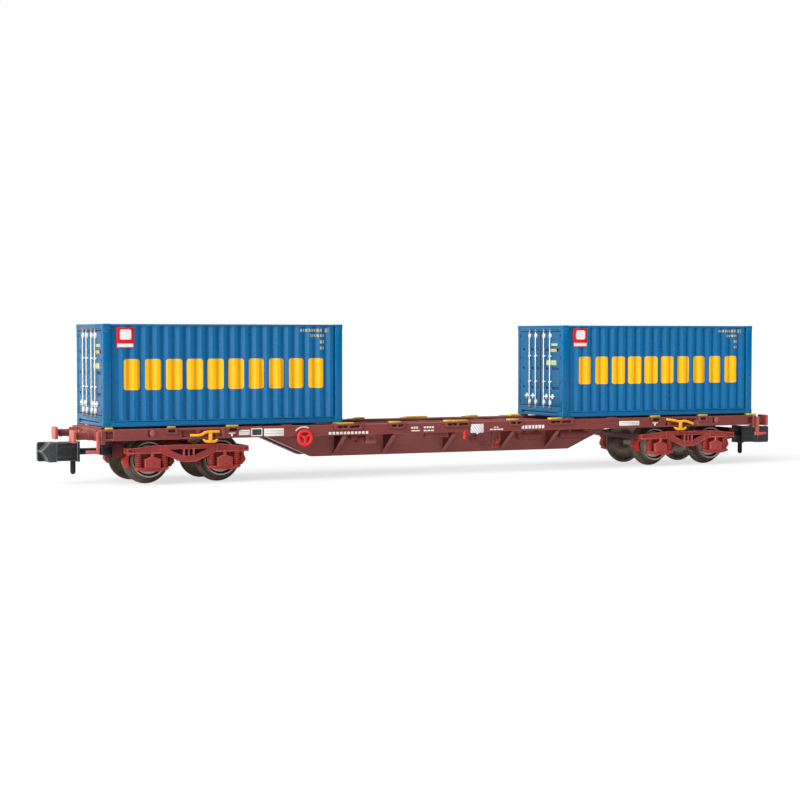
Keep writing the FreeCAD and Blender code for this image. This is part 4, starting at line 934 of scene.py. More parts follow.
# A bogie is drawn about its own pivot with its outer end towards -X; a shape alone is copied to both sides.
# A bogie is drawn about its own pivot with its coupler towards -X.
sideFrame = {
    "in": 6.5, "web": 7.42, "out": 7.6, "end": 9.4, "bottom": 4.65, "top": 5.87, "endTop": 5.48,
    "belly": ((4.25, 4.65), (1.3, 3.38), (0.9, 3.27), (-0.9, 3.27), (-1.3, 3.38), (-4.25, 4.65)),
    "openings": (((3.1, 5.2), (0.85, 5.2), (0.85, 4.16)),
                 ((0.65, 5.2), (0.07, 5.2), (0.07, 4.16), (0.65, 4.16))),
    "rim": 0.1, "ribs": (4.4, 4.5), "slot": (0.45, 5.1),
}


def grown(points, amount):
    # corners of a small hole moved outwards from its middle
    centre = [sum(values) / len(points) for values in zip(*points)]
    moved = []
    for point in points:
        share = 1 + amount * 1.35 / math.dist(point, centre)
        moved.append([core + (value - core) * share for value, core in zip(point, centre)])
    return moved


def mirrored(sign, *limits):
    # limits on one side of x or y 0, or their mirror image
    return sorted(sign * limit for limit in limits)


def bogieSideFrames():
    inner, web, out, end, bottom, top, endTop = (
        sideFrame[key] for key in ("in", "web", "out", "end", "bottom", "top", "endTop"))
    topLine = [(-end, endTop), (-8.2, endTop + 0.05), (-4.9, top), (4.9, top), (8.2, endTop + 0.05),
               (end, endTop)]
    belly, rim = list(sideFrame["belly"]), sideFrame["rim"]
    openings = sideFrame["openings"]
    holes = [[(sign * x, z) for x, z in points] for sign in (-1, 1) for points in openings]
    yield plate("xz", [(-end, bottom), *topLine, (end, bottom)] + belly, (-web, -inner), 0.04, holes=holes)
    back = -web + 0.05
    # raised rims round the openings, painted a lighter pink as highlight, and a dark skin behind them,
    # painted shade
    for index, points in enumerate(holes):
        proud = -out - 0.012 * (index % 2) - 0.006 * (index // 2)
        around = grown(points, rim * (1.0 if len(points) == 3 else 0.5))
        yield plate("xz", around, (proud, back), 0.03, holes=[points], paint=4)
    yield block(span(0, openings[0][0][0] + 0.1), (-inner - 0.1, -inner + 0.02), (4.1, 5.26), 0.0, 5)
    # top edge, lower chord and the arms' foot strips stand proud
    lower = [(x, z - 1.3 * rim) for x, z in topLine]
    yield plate("xz", topLine + lower[::-1], (-out + 0.012, back), 0.04)
    raised = [(x, z + 0.17) for x, z in belly]
    yield plate("xz", belly + raised[::-1], (-out + 0.02, back), 0.04)
    for sign in (-1, 1):
        foot = (bottom - 0.01, bottom + 0.2)
        yield block(mirrored(sign, belly[0][0], end), (-out - 0.03, back), foot, 0.05)
        yield block(mirrored(sign, *sideFrame["ribs"]), (-out + 0.006, back), (bottom + 0.1, top - 0.1), 0.03)
        # slot near the arm's end with a bright raised surround
        inset, z = sideFrame["slot"]
        centre = (sign * (end - inset), z)
        slot = roundedOutline(0.5, 0.24, 0.05, 2, centre)
        surround = roundedOutline(0.86, 0.52, 0.1, 2, centre)
        yield plate("xz", surround, (-out - 0.04, back), 0.04, holes=[slot], paint=2)
        # the slot's floor is a dark red: painted shade
        yield plate("xz", slot, (-web - 0.03, -web + 0.1), 0.0, paint=1)
        # the arm's end forks round a shadowed gap; the prongs are a brighter red: painted light
        for z in ((bottom + 0.02, bottom + 0.3), (endTop - 0.3, endTop - 0.02)):
            yield block(mirrored(sign, end - 0.05, end + 0.03), (-out + 0.03, -inner - 0.05), z, 0.03, 3)


axleX = (-5.625, 5.625)
axlebox = {
    "half": 1.2, "seatTop": 2.55, "shoulder": 3.8, "roof": 4.17, "stem": 0.2, "front": 7.75, "back": 6.6,
    "seat": ((-2.5, 2.55), (2.5, 2.55), (2.46, 2.36), (2.2, 2.22), (1.3, 2.0), (-1.3, 2.0), (-2.2, 2.22),
             (-2.46, 2.36)),
}


def bogieAxleboxes():
    half, seatTop, shoulder, roof, stem, front, back, seat = axlebox.values()
    for x in axleX:
        body = [(x - half, seatTop), (x - half, shoulder), (x - stem, roof), (x - stem, 4.9),
                (x + stem, 4.9), (x + stem, roof), (x + half, shoulder), (x + half, seatTop)]
        yield plate("xz", body, (-front, -back), 0.05)
        # web between the spring columns, in a dark red: painted shade
        yield block(span(x, 1.75), (-back - 0.3, -back + 0.02), (2.45, 4.7), 0.03, 2)
        # shallow pyramid cover with a raised middle
        cover = startShape()
        inner = half - 0.06
        corners = [(x - inner, 2.66), (x - inner, shoulder - 0.06), (x, roof - 0.1),
                   (x + inner, shoulder - 0.06), (x + inner, 2.66), (x, 2.5)]
        face = cover.faces.new([cover.verts.new((u, -front - 0.1, v)) for u, v in corners])
        pull(cover, [face], (0, 0.2, 0))
        bmesh.ops.recalc_face_normals(cover, faces=cover.faces)
        for least, thickness, depth in ((0, 0.07, 0.0), (2, 0.6, 0.1)):
            nose = [each for each in cover.faces if each.normal.y < -0.9 and each.calc_area() > least]
            bmesh.ops.inset_region(cover, faces=nose, thickness=thickness, depth=depth, use_even_offset=True)
        softenEdges(cover, 0.03, 2, 0.2)
        yield cover
        yield turned([(-8.0, 0), (-8.0, 0.14), (-7.97, 0.26), (-7.9, 0.3), (-7.7, 0.3), (-7.7, 0)], "y",
                     (x, 0, 3.18), 24)
        yield plate("xz", [(x + dx, z) for dx, z in seat], (-7.72, -6.6), 0.07, paint=1)
        for offset in spring["offsets"]:
            yield turned([(2.5, 0), (2.5, 0.6), (2.62, 0.6), (2.68, 0.5), (2.68, 0)], "z",
                         (x + offset, -spring["y"], 0), 24, 1)


spring = {
    "offsets": (-2.0, 2.0), "y": 7.1, "z": (2.6, 4.66), "radius": 0.4, "wire": 0.125, "turns": 6,
    "core": 0.33,
}


def bogieSprings():
    (low, high), wire, turns = spring["z"], spring["wire"], spring["turns"]
    for x in axleX:
        for offset in spring["offsets"]:
            coil = wound(spring["radius"], wire, 8, turns * 18, turns, high - low - 2 * wire)
            move(coil, (x + offset, -spring["y"], low + wire))
            yield coil
            yield rod("z", (low, high), (x + offset, -spring["y"]), spring["core"], 20, 0.02)


brake = {"clear": 3.1, "wheelZ": 3.65, "back": 3.95, "y": (-5.8, -4.5), "hanger": 0.33}


def bogieBrakes():
    clear, wheelZ, back, y = (brake[key] for key in ("clear", "wheelZ", "back", "y"))
    for x in axleX:
        for sign in (-1, 1):
            outside = sign * x > 0
            top = 4.65 if outside else 4.6
            outline = []
            for step in range(9):
                z = 2.55 + 2.0 * step / 8
                outline.append((math.sqrt(clear ** 2 - (z - wheelZ) ** 2) + 0.02, z))
            outline += [(3.0, 4.55), (3.02, top), (back - 0.5, top), (back - 0.12, 3.62), (back, 3.3),
                        (back - 0.12, 3.1), (back - 0.62, 2.52)]
            # shoes on the inner side take the darker red: painted shade
            yield plate("xz", [(x + sign * dx, z) for dx, z in outline], y, 0.08, paint=int(not outside))
            hanger = sorted(x + sign * (back - inward) for inward in (0.9, 0.5))
            yield block(hanger, (-sideFrame["in"], y[0] + 0.05), (top - brake["hanger"], top - 0.02), 0.04)


crossBeams = {"half": 1.65, "z": (4.6, 5.9), "end": (9.25, 9.62), "endZ": (4.65, 5.48),
              "apron": (9.62, 9.95, 6.1, 3.7, 4.3, 6.2), "bore": 1.26, "padRadius": 2.2, "padTop": 6.2}


def bogieCrossBeams():
    half, (low, high) = crossBeams["half"], crossBeams["z"]
    bore = circlePoints(crossBeams["bore"])
    beam = [(-half, -6.5), (half, -6.5), (half, 6.5), (-half, 6.5)]
    yield plate("xy", beam, (low, high), holes=[bore])
    pad = circlePoints(crossBeams["padRadius"])
    yield plate("xy", pad, (high - 0.05, crossBeams["padTop"]), 0.04, holes=[bore])
    for x in (-1.0, 1.0):
        yield bothSides, block(span(x, 0.12), (-6.4, -2.4), (high - 0.05, high + 0.12), 0.03)
    # the inner end beam is a greyer mauve, a painted sheen; the outer one is bogie red
    for sign, paint in ((1, 2), (-1, 0)):
        yield block(mirrored(sign, *crossBeams["end"]), span(0, 6.5), crossBeams["endZ"], 0.06, paint)
    inner, outer, reach, foot, sideFoot, top = crossBeams["apron"]
    apron = [(-reach, top), (reach, top), (reach, sideFoot), (reach / 2, foot), (-reach / 2, foot),
             (-reach, sideFoot)]
    # the apron is a dark brown: painted shade
    yield plate("yz", apron, (-outer, -inner + 0.05), 0.07, paint=1, segments=3)
    for y in (-4.3, -2.2, 2.2, 4.3):
        yield block((-outer - 0.04, -outer + 0.1), span(y, 0.14), (4.5, top - 0.1), 0.04, 1)


pocket = {"half": 1.02, "z": (4.16, 5.46), "end": -11.5, "back": -9.95, "slot": (0.86, 4.3, 5.32),
          "pin": (-10.775, 0.3)}


def couplerPocket():
    half, (low, high), end, back = (pocket[key] for key in ("half", "z", "end", "back"))
    slotHalf, slotLow, slotHigh = pocket["slot"]
    walls = (low + 0.05, high - 0.05)
    for z in ((low, slotLow), (slotHigh, high)):
        yield block((end, back), span(0, half), z, 0.05)
    for y in ((-half, -slotHalf), (slotHalf, half)):
        yield block((end + 0.02, back), y, walls, 0.05)
    yield block((-10.1, back), span(0, half), walls, 0.02)
    pinX, pinRadius = pocket["pin"]
    yield rod("z", (low, high), (pinX, 0), pinRadius)
    # rounded boss in front of the slot's roof, in a blue-black whose blue tint is a painted sheen
    boss = turned([(0.0, 0), (0.04, 0.3), (0.16, 0.5), (0.4, 0.6), (0.8, 0.6), (0.8, 0)], "x",
                  (end - 0.02, 0, 5.1), 28, 1)
    bmesh.ops.scale(boss, vec=(1, 1.1, 0.8), space=Matrix.Translation((0, 0, -5.1)), verts=boss.verts)
    yield boss


wheel = {
    "steps": 72,
    # y, radius, and the finish of the length that starts there, from the axle's middle outwards
    "profile": (
        (0.0, 0.6, "disc"), (3.2, 0.6, "back"), (3.28, 0.95, "back"), (3.65, 1.0, "back"),
        (3.72, 1.25, "back"), (3.72, 2.95, "back"), (3.7, 3.0, "back"), (3.7, 3.53, "tread"),
        (3.8, 3.63, "tread"), (3.94, 3.65, "tread"), (4.1, 3.61, "tread"), (4.26, 3.4, "tread"),
        (4.38, 3.02, "tread"), (4.55, 2.93, "tread"), (5.76, 2.84, "tyre"), (5.9, 2.71, "tyre"),
        (5.9, 2.62, "lip"), (5.78, 2.44, "recess"), (5.4, 2.38, "recess"), (5.38, 2.16, "disc"),
        (5.3, 1.75, "disc"), (5.38, 1.45, "disc"), (5.48, 1.15, "disc"), (5.78, 1.05, "disc"),
        (5.82, 0.7, "disc"), (5.82, 0.6, "disc"), (6.22, 0.58, "disc"), (6.35, 0.35, "disc"),
        (7.15, 0.35, "disc"), (7.2, 0.28, "disc"), (7.2, 0.0, "disc")),
}
wheelLooks = {      # colours, and what differs from the finishes' defaults
    "tread": ("685e54 544a42 a09488", dict(metallic=0.5, rough=(0.3, 0.44), patch=1.6, rings=0.004)),
    # the groove in the wheel's face is near black: painted shade
    "recess": ("0e0f0f 0a0b0b 282a28", dict(metallic=0.1, rough=(0.4, 0.5), patch=1.6, rings=0.003)),
    "disc": ("c6beb4 a49c92 ece6de", dict(metallic=0.15, rough=(0.3, 0.45), patch=1.8, rings=0.006,
                                          grainShare=0.3)),
    "lip": ("ccc6be b4aca2 ece6de", dict(rough=(0.3, 0.4), patch=1.8, rings=0.003)),
    "back": ("9e9286 786c62 c8bcae", dict(metallic=0.9, rough=(0.2, 0.34), patch=2.6, rings=0.006,
                                          patchShare=0.8)),
    "tyre": ("645a52 524a42 a0948a", dict(metallic=0.5, rough=(0.3, 0.42), patch=1.6, rings=0.004)),
}


def wheelset(centre):
    half = wheel["profile"]
    names = list(wheelLooks)
    profile = [(-y, radius) for y, radius, _ in half[:0:-1]] + [(y, radius) for y, radius, _ in half]
    paints = [names.index(look) for _, _, look in half[-2::-1] + half[:-1]]
    yield turned(profile, "y", centre, wheel["steps"], paints=paints)


coupler = {
    "pin": -55.15, "nose": -65.1, "z": (3.35, 6.3), "half": 1.5, "shankZ": (4.35, 5.25), "shankHalf": 0.5,
    "eye": (0.62, 0.36), "plate": (-59.7, -59.3, 1.6), "root": -62.7, "cheek": 0.45, "corner": 0.3,
    "dropPin": (-60.0, 1.8, 0.4), "shift": {"left": (0.0, 0.0), "right": (0.5, 0.25)},      # out and down
    "wedge": ((-64.0, 0.0), (-64.22, 0.45), (-64.5, 0.95), (-64.85, 1.4), (-65.1, 1.62), (-64.85, 1.86),
              (-64.45, 2.2), (-64.12, 2.6)),      # x, height over the head's underside
}


def couplerShapes(side):
    out, drop = coupler["shift"][side]
    (low, high), (shankLow, shankHigh) = coupler["z"], coupler["shankZ"]
    pin, half, root, nose, cheek, corner = (
        coupler[key] for key in ("pin", "half", "root", "nose", "cheek", "corner"))
    rim, hole = (circlePoints(radius, pin) for radius in coupler["eye"])
    yield plate("xy", rim, coupler["shankZ"], 0.03, holes=[hole])
    start, stop, reach = coupler["plate"]
    yield block((start - out, pin - 0.5), span(0, coupler["shankHalf"]), (shankLow, shankHigh))
    shifted = (Matrix.Translation((-out, 0, -drop)),)
    yield shifted, block((start, stop), span(0, reach), (low, high + 0.1), 0.08)
    # the right coupler's box and far cheek take the lighter grey: painted light
    paintedLitFlank = int(side == "right")
    box = ((root - 0.1, start + 0.1), span(0, half - 0.04), (low + 0.14, high - 0.06))
    yield shifted, block(*box, 0.08, paintedLitFlank)
    # low ribs on the box's sides
    for y in (-half + 0.02, half - 0.06):
        for z in (low + 0.75, high - 0.7):
            yield shifted, block((-62.5, -60.0), (y, y + 0.04), span(z, 0.05), 0.015)
    # wedge nose with two curved shoulders, in the lighter grey: painted light
    wedge = [(root, low), *((x, low + rise) for x, rise in coupler["wedge"]), (-63.8, high), (root, high)]
    yield shifted, plate("xz", wedge, (-half, half - cheek + 0.02), 0.07, paint=1, segments=3)
    wall = [(root, low + 0.02), (nose + corner, low + 0.02), (nose + 0.09, low + 0.11), (nose, low + corner),
            (nose, high - corner), (nose + 0.09, high - 0.1), (nose + corner, high - 0.02),
            (root, high - 0.02)]
    yield shifted, plate("xz", wall, (half - cheek, half), 0.07, paint=paintedLitFlank, segments=3)
    x, footZ, radius = coupler["dropPin"]
    foot = [(footZ - radius * math.cos(math.radians(angle)), radius * math.sin(math.radians(angle)))
            for angle in range(0, 91, 15)]
    yield shifted, turned(foot + [(low + 0.25, radius), (low + 0.25, 0)], "z", (x, 0, 0), 28)


for side, facing in (("left", stay), ("right", halfTurn)):
    pivot = Matrix.Translation((middle(side + "_bogie_side_frames").x, 0, 0)) @ facing
    for name, shapes, usual, paints in (
            ("BogieSideFrames", bogieSideFrames, bothSides,
             "bogieRed darkSlotRed springRed tipRed rimPink shadowBrown"),
            ("BogieAxleboxes", bogieAxleboxes, bothSides, "bogieRed springRed deepRed"),
            ("BogieSprings", bogieSprings, bothSides, "springRed"),
            ("BogieBrakes", bogieBrakes, bothSides, "shoeRed deepRed"),
            ("BogieCrossBeams", bogieCrossBeams, once, "bogieRed deepBrown mauveBrown"),
            ("CouplerPocket", couplerPocket, once, "couplerBlack gasketDark")):
        finishPiece(side + name, shapes(), paints, usual, pivot)
    finishPiece(side + "Coupler", couplerShapes(side), "couplerBlack couplerSlate", once, facing)
    for which in ("Outer", "Inner"):
        centre = middle(f"{side}_{which.lower()}_wheelset")
        paints = [side + which + look.title() for look in wheelLooks]
        for paint, (colours, changes) in zip(paints, wheelLooks.values()):
            makeFinish(paint, "wheel_metal", colours, {**changes, "centre": centre})
        finishPiece(side + which + "Wheelset", wheelset(centre), " ".join(paints), crease=0.5)
print("bogies and couplers made")


# A container is drawn about its own middle with its doors towards -X, its underside at z 0.
container = {
    "post": (1.2, 0.75), "casting": (1.2, 1.05, 0.75), "rail": (0.95, 0.6), "topRail": (0.3, 0.5),
    "doorSill": 1.6, "doorHeader": 14.2, "bossProud": 0.03, "postInset": 0.025, "railInset": 0.05,
    "setback": 0.12, "sheet": 0.4, "ribDepth": 0.3,
    # first rib, pitch, count, and where a rib rises, crests, turns and ends
    "sideRibs": (-16.04, 1.725, 20, (-0.42, 0.1, 0.6, 1.1)),
    "endRibs": (-5.9, 1.8, 7, (-0.2, 0.2, 0.8, 1.15)),
    # pockets in the door sill: y and z limits, depth; their insides are painted dark as shade
    "sillPockets": ((((5.2, 6.4), (0.25, 0.85)), 0.3), (((-5.5, 5.2), (0.55, 0.75)), 0.3)),
}


def containerFrame(halfX, halfY, top):
    postX, postY = container["post"]
    castX, castY, castZ = container["casting"]
    (railZ, railY), (topZ, topY) = container["rail"], container["topRail"]
    inset, railIn = container["postInset"], container["railInset"]
    x, y = -halfX, -halfY
    yield fourCorners, block((x + inset, x + postX), (y + inset, y + postY), (0.3, top - 0.3), 0.1)
    for z in ((0, castZ), (top - castZ, top)):
        yield fourCorners, block((x, x + castX), (y, y + castY), z, 0.08)
    # half-round boss at the foot of each top casting
    proud = y - container["bossProud"]
    boss = [(proud, 0), (proud, 0.3), (proud + 0.035, 0.36), (y + 0.2, 0.36), (y + 0.2, 0)]
    yield fourCorners, turned(boss, "y", (x + 0.62, 0, top - castZ - 0.28), 28)
    # bottom rail: flange, a web painted dark blue as shade, and a thin lit ledge; then the top rail
    inside = span(0, halfX - postX + 0.05)
    yield bothSides, block(inside, (y + railIn, y + railY), (0.05, 0.72))
    yield bothSides, block(inside, (y + 0.2, y + railY), (0.6, 0.9), 0.0, 1)
    yield bothSides, block(inside, (y + 0.03, y + railY + 0.02), (0.82, 0.98), 0.05)
    yield bothSides, block(inside, (y + railIn, y + topY), (top - topZ, top - 0.03), 0.07)
    # door sill and header, each with a drip strip, and the rails of the plain end
    across, strip = span(0, halfY - 0.5), span(0, halfY - 1.0)
    sill, header = (0.05, container["doorSill"]), (container["doorHeader"], top - 0.02)
    yield block((x + 0.04, x + 0.9), across, sill, 0.05, 0, container["sillPockets"])
    yield block((x + 0.01, x + 0.3), strip, (0.98, 1.1), 0.04)
    yield block((x + 0.04, x + 0.9), across, header, 0.05)
    yield block((x + 0.01, x + 0.3), strip, (top - 0.62, top - 0.5), 0.04)
    yield block((halfX - 0.6, halfX - railIn), across, (0.05, railZ), 0.05)
    yield block((halfX - 0.5, halfX - railIn), across, (top - topZ, top - 0.03), 0.05)


def ribbedLine(first, pitch, count, slopes, reach, outer):
    # the line of a corrugated sheet from -reach to reach, as (along, out) points
    inner = outer - container["ribDepth"]
    line = [(-reach, inner)]
    for index in range(count):
        start = first + pitch * index
        line += [(start + slope, level) for slope, level in zip(slopes, (inner, outer, outer, inner))]
    return line + [(reach, inner)]


def containerWalls(halfX, halfY, top):
    postX, postY = container["post"]
    heights = (container["rail"][0] - 0.05, top - container["topRail"][0] + 0.05)
    setback, sheet = container["setback"], container["sheet"]
    line = ribbedLine(*container["sideRibs"], halfX - postX + 0.05, halfY - setback)
    side = [(x, -y) for x, y in line] + [(x, -y + sheet) for x, y in reversed(line)]
    line = ribbedLine(*container["endRibs"], halfY - postY + 0.05, halfX - setback)
    end = [(x, y) for y, x in line] + [(x - sheet, y) for y, x in reversed(line)]
    for copies, outline, bend in ((bothSides, side, 0.16), (once, end, 0.12)):
        wall = plate("xy", outline, heights, 0.0)
        softenEdges(wall, bend, 4, 0.25, uprights=True)
        yield copies, wall


roof = {"ribs": 19, "ribHalf": 0.35, "ribTop": -0.03}


def containerRoof(halfX, halfY, top):
    yield block((-halfX + 0.85, halfX - 0.45), span(0, halfY - 0.45), (top - 0.4, top - 0.12), 0.04)
    step = (2 * halfX - 3.4) / (roof["ribs"] - 1)
    for index in range(roof["ribs"]):
        yield block(span(-halfX + 1.9 + step * index, roof["ribHalf"]), span(0, halfY - 1.2),
                    (top - 0.2, top + roof["ribTop"]), 0.07)
    for x in ((-halfX + 0.9, -halfX + 1.35), (halfX - 1.0, halfX - 0.55)):
        yield block(x, span(0, halfY - 0.5), (top - 0.2, top - 0.06), 0.05)


door = {
    "recess": 0.1, "thick": 0.7, "gap": 0.09, "edge": 6.82, "grooves": (4.7, 7.9, 11.05), "grooveHalf": 0.26,
    "grooveDepth": 0.16, "grooveY": ((5.3, 6.1), (2.2, 3.2), (0.5, 1.1), (-2.9, -1.7), (-6.2, -3.8)),
    "hinges": (2.35, 5.75, 9.75, 13.45),
}


def containerDoors(halfX, halfY, top):
    face = -halfX + door["recess"]
    low, high = container["doorSill"] + 0.08, container["doorHeader"] - 0.08
    edge, gap = door["edge"], door["gap"]
    for y0, y1 in ((gap - 0.02, edge), (-edge, -gap - 0.25)):
        # grooves sunk across each leaf, their insides painted dark as shade
        sunk = [((limits, span(z, door["grooveHalf"])), door["grooveDepth"])
                for limits in door["grooveY"] if y0 < limits[0] and limits[1] < y1 for z in door["grooves"]]
        yield block((face, face + door["thick"]), (y0, y1), (low, high), 0.05, 0, sunk)
    # dark seals round each leaf and down the middle; their darkness is partly painted shade of the gaps
    for y in ((-edge - 0.14, -edge + 0.04), (edge - 0.04, edge + 0.22), (-gap - 0.3, gap + 0.02)):
        yield block((face + 0.02, face + 0.5), y, (low - 0.08, high + 0.08), 0.02, 2)
    for z in ((low - 0.08, low + 0.09), (high - 0.09, high + 0.08)):
        yield block((face - 0.012, face + 0.5), span(0, edge), z, 0.0, 2)
    # hinge leaves and knuckles on both posts; the knuckles are painted dark as shade
    for z in door["hinges"]:
        for sign in (-1, 1):
            y = edge + 0.02
            yield block((face - 0.06, face + 0.08), mirrored(sign, y, y - 0.7), span(z, 0.13), 0.03)
            yield rod("z", span(z, 0.24), (face - 0.02, sign * y), 0.1, 12, 0.02, 1)


lockRod = {
    "y": ((3.3, 1), (1.2, 1), (-1.55, -1), (-3.6, -1)), "radius": 0.09, "z": (1.3, 14.55), "proud": 0.12,
    "cams": (2.3, 13.4), "camHalf": (0.22, 0.4), "guides": (5.75, 10.0), "guideHalf": (0.36, 0.19),
    "keepers": (1.55, 14.2), "handle": 3.3, "handleReach": 1.45, "hub": 0.92, "tip": 0.55, "front": 0.25,
}


def containerLockRods(halfX, halfY, top):
    face, front, x = -halfX + door["recess"], -halfX - lockRod["front"], -halfX - lockRod["proud"]
    (foot, head), tip, radius = lockRod["z"], lockRod["tip"], lockRod["radius"]
    for y, sign in lockRod["y"]:
        yield rod("z", (foot + tip, head - tip), (x, y), radius, 16, 0.02)
        for ends in ((foot, foot + tip + 0.02), (head - tip - 0.02, head)):     # bare brown tips
            yield rod("z", ends, (x, y), radius - 0.005, 16, 0.03, 1)
        for z in lockRod["cams"]:
            cam = turned([(front + 0.02, 0), (front + 0.02, 0.55), (front + 0.08, 0.86), (front + 0.2, 1.0),
                          (face + 0.05, 1.0), (face + 0.05, 0)], "x", steps=24)
            stretch(cam, (1, *lockRod["camHalf"]))
            move(cam, (0, y, z))
            yield cam
        for z in lockRod["guides"]:
            wide, tall = lockRod["guideHalf"]
            guide = [(y - wide, z), (y, z + tall), (y + wide, z), (y, z - tall)]
            yield plate("yz", guide, (front + 0.04, face + 0.02), 0.05)
        z, hubY = lockRod["handle"], y + sign * lockRod["hub"]
        handle = sorted((y, y + sign * lockRod["handleReach"]))
        yield block((front + 0.03, x + 0.1), handle, span(z, 0.08), 0.05)
        yield turned([(front + 0.01, 0), (front + 0.01, 0.12), (front + 0.08, 0.18), (face + 0.02, 0.2),
                      (face + 0.02, 0)], "x", (0, hubY, z), 20)
        yield block((front + 0.02, face), span(hubY, 0.07), span(z, 0.42), 0.05)
        for z in lockRod["keepers"]:
            yield block((-halfX - 0.15, -halfX + 0.1), span(y, 0.2), span(z, 0.12), 0.05, 1)


placard = {
    "x": (-16.85, -14.2), "z": (11.6, 14.62), "strip": (0.12, 0.62), "field": (-15.475, 13.55), "thick": 0.05,
    # small blank labels on the right-hand door: y, z, paint
    "labels": (((-5.8, -3.7), (11.75, 12.15), 2), ((-5.5, -3.4), (10.75, 11.25), 3),
               ((-5.4, -2.2), (8.55, 9.35), 2)),
}


def containerPlacards(halfX, halfY, top):
    # blank red placards on the long walls and small blank labels on a door
    y = -halfY + container["setback"]
    (x0, x1), (z0, z1), thick = (placard[key] for key in ("x", "z", "thick"))
    yield oppositeCorners, block((x0, x1), (y - thick, y + 0.02), (z0, z1), 0.015)
    proud = (y - thick - 0.015, y)
    yield oppositeCorners, block((x0 + 0.14, x1 - 0.14), proud, [z0 + z for z in placard["strip"]], 0.0, 1)
    field = roundedOutline(1.7, 1.5, 0.3, centre=placard["field"])
    yield oppositeCorners, plate("xz", field, proud, 0.0, paint=1)
    for labelY, z, paint in placard["labels"]:
        yield block(span(-halfX + door["recess"], 0.02), labelY, z, 0.0, paint)


containerPaint = {"rough": (0.2, 0.28), "patch": 9.0, "patchShare": 0.45, "wear": 0.4, "swell": 0.02,
                  "bump": 0.008, "grainShare": 0.03}
doorGloss = {**containerPaint, "ior": 1.24, "rough": (0.22, 0.3)}      # the end with the doors is shinier
wallPrint = {       # a generic row of upright blocks on the long walls, and rows of short plain dashes
    "count": 10,
    "start": -16.15,            # first block, from the container's middle, mm
    "pitch": 3.23,
    "width": 2.45,
    "heights": (5.4, 9.95),     # above the container's underside
    "corner": 0.4,
    "soft": 0.03,
    "ink": ("faba08", "f0aa06"),
    "dashes": ((11.9, 15.55, 14.22, 0.4), (15.95, 16.6, 14.22, 0.62), (13.55, 16.1, 13.4, 0.36),
               (15.15, 16.05, 12.45, 0.46), (15.2, 15.85, 11.5, 0.4)),      # first x, last x, z, height
    "dashPitch": 0.46, "dashFill": 0.62, "dashInk": "d6ba60", "dashShare": 0.8,
}


def printOnWalls(origin, place):
    axes = localAxes(place, Location=[-part for part in origin])
    along = times(axes["X"], times(sums("SIGN", axes["Y"]), -1.0))
    low, high = wallPrint["heights"]
    pitch, corner, soft = wallPrint["pitch"], wallPrint["corner"], wallPrint["soft"]
    travel = minus(along, wallPrint["start"])
    # distance from each block's core, in both directions, for its rounded corners
    reach = [sums("MAXIMUM", minus(sums("ABSOLUTE", value), size / 2 - corner), 0.0) for value, size in (
        (times(minus(sums("FRACT", sums("DIVIDE", travel, pitch)), 0.5), pitch), wallPrint["width"]),
        (minus(axes["Z"], (low + high) / 2), high - low))]
    reach = sums("SQRT", plus(*(times(part, part) for part in reach)))
    blocks = times(remap(reach, corner - soft, corner + soft, 1.0, 0.0),
                   between(travel, 0.0, wallPrint["count"] * pitch))
    rows = 0.0
    for start, stop, height, size in wallPrint["dashes"]:
        rows = plus(times(between(axes["Z"], *span(height, size / 2)), between(along, start, stop)), rows)
    dashes = between(sums("FRACT", sums("DIVIDE", along, wallPrint["dashPitch"])), 0.0, wallPrint["dashFill"])
    ink = blendColour(noise(place, 2.5), *(colour(text) for text in wallPrint["ink"]))
    return (blocks, ink), (times(times(rows, dashes), wallPrint["dashShare"]), colour(wallPrint["dashInk"]))


def facesDoorEnd(face):
    return face.normal.x < -0.7


for side in ("left", "right"):
    low, high = nodeBox(side + "_container_frame")
    halfX, halfY, top = (high.x - low.x) / 2, (high.y - low.y) / 2, high.z - low.z
    origin = ((low.x + high.x) / 2, 0, low.z)
    plain, printed, shiny = (side + "Container" + part for part in ("Blue", "Printed", "DoorBlue"))
    makeFinish(plain, "container_blue", "006194 00588a 3c8cba", containerPaint)
    makeFinish(printed, "container_blue", "006194 00588a 3c8cba", containerPaint,
               prints=partial(printOnWalls, origin))
    makeFinish(shiny, "container_blue", "00547c 004a70 3c88b4", doorGloss)
    for name, shapes, paints, more in (
            ("Frame", containerFrame, f"{plain} groundBlue {shiny}", {"repaint": (facesDoorEnd, 2)}),
            ("Walls", containerWalls, printed, {"crease": 0.9}), ("Roof", containerRoof, plain, {}),
            ("Doors", containerDoors, f"{plain} groundBlue gasketDark {shiny}",
             {"repaint": (facesDoorEnd, 3)}),
            ("LockRods", containerLockRods, "rodWhite tipTan", {}),
            ("Placards", containerPlacards, "placardRed rodWhite labelYellow labelOrange",
             {"body": side + "_container"})):
        finishPiece(f"{side}Container{name}", shapes(halfX, halfY, top), paints,
                    place=Matrix.Translation(origin), **more)

# frame nodes that keep their own shape get the same paint as their neighbours
for node, paint in (
        ("end_stringers", "frameBrown"), ("cross_bearers", "frameBrown"), ("frame_bolsters", "deepBrown"),
        ("bogie_screws", "screwSteel"), ("left_container_floor", "leftContainerBlue"),
        ("right_container_floor", "rightContainerBlue")):
    mesh = frame["nodes"][node].data
    mesh.materials.clear()
    mesh.materials.append(finishes[paint])
print("containers made")

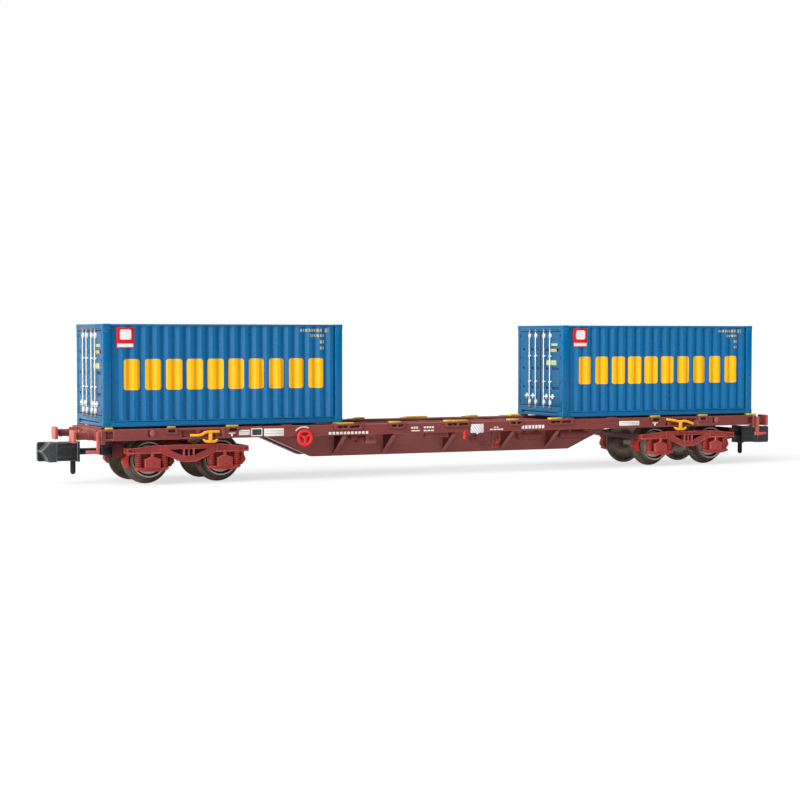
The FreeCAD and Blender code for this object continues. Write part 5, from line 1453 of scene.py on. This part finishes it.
studio = {
    "skyLight": 0.72, "skyEven": 0.64, "skyLeast": 0.05,
    "skyLean": (-1.05, 0.3, 0.6),       # brighter on the left and above than on the right and in front
    # strength, angle and direction of each sun
    "suns": {"keyLight": (3.6, 55.0, (-0.78, -0.26, 0.62)), "stripLight": (0.44, 16.0, (-0.53, -0.84, 0.05))},
    "floorHalf": 6.0, "floorGlow": 0.98, "floorGlowShare": 0.7, "floorPaper": 0.9,
    "floorBounce": 0.74,                # the floor throws less light back up than it shows
}
view = {"lens": 77.93, "location": (-0.1242434, -0.2539902, 0.0216942), "tilt": 0.0358, "pan": -0.4348}


def mixShaders(near, factor, first, second):
    return addNode(near, "ShaderNodeMixShader", {0: factor, 1: first.outputs[0], 2: second.outputs[0]})


def seenOnly(tree, hidden, seen, out):
    # one look for the camera, another for the light
    path = addNode(tree, "ShaderNodeLightPath")
    mixed = mixShaders(tree, path.outputs["Is Camera Ray"], hidden, seen)
    addNode(tree, out, {"Surface": mixed.outputs[0]})


def emptyTree(block):
    block.use_nodes = True
    block.node_tree.nodes.clear()
    return block.node_tree


def addToScene(name, data):
    item = bpy.data.objects.new(name, data)
    bpy.context.scene.collection.objects.link(item)
    return item


scene = bpy.context.scene
scene.view_settings.view_transform = "Standard"
scene.world = bpy.data.worlds.new("studio")
tree = emptyTree(scene.world)
way = addNode(tree, "ShaderNodeTexCoord").outputs["Generated"]
lean = addNode(tree, "ShaderNodeVectorMath", {0: way, 1: studio["skyLean"]}, operation="DOT_PRODUCT")
level = sums("MAXIMUM", plus(lean.outputs["Value"], studio["skyEven"]), studio["skyLeast"])
lit, seen = (addNode(tree, "ShaderNodeBackground", {"Color": (1, 1, 1, 1), "Strength": strength})
             for strength in (times(level, studio["skyLight"]), 1.0))
seenOnly(tree, lit, seen, "ShaderNodeOutputWorld")
for name, (strength, angle, comesFrom) in studio["suns"].items():
    light = bpy.data.lights.new(name, "SUN")
    light.energy, light.angle = strength, math.radians(angle)
    addToScene(name, light).rotation_euler = Vector(comesFrom).to_track_quat("Z", "Y").to_euler()
sheet = bmesh.new()
bmesh.ops.create_grid(sheet, x_segments=1, y_segments=1, size=studio["floorHalf"])
mesh = bpy.data.meshes.new("floor")
sheet.to_mesh(mesh)
sheet.free()
paper = bpy.data.materials.new("palePaper")
mesh.materials.append(paper)
tree = emptyTree(paper)
white, dim = (addNode(tree, "ShaderNodeBsdfDiffuse", {"Color": (*(studio[key],) * 3, 1.0)})
              for key in ("floorPaper", "floorBounce"))
glow = addNode(tree, "ShaderNodeEmission", {"Strength": studio["floorGlow"]})
seenOnly(tree, dim, mixShaders(tree, studio["floorGlowShare"], white, glow), "ShaderNodeOutputMaterial")
addToScene("floor", mesh)
data = bpy.data.cameras.new("camera")
data.sensor_width, data.lens, data.clip_start, data.clip_end = 36.0, view["lens"], 0.005, 50.0
camera = addToScene("camera", data)
camera.location = view["location"]
camera.rotation_euler = (math.pi / 2 - view["tilt"], 0.0, view["pan"])
scene.camera = camera
print("studio made")
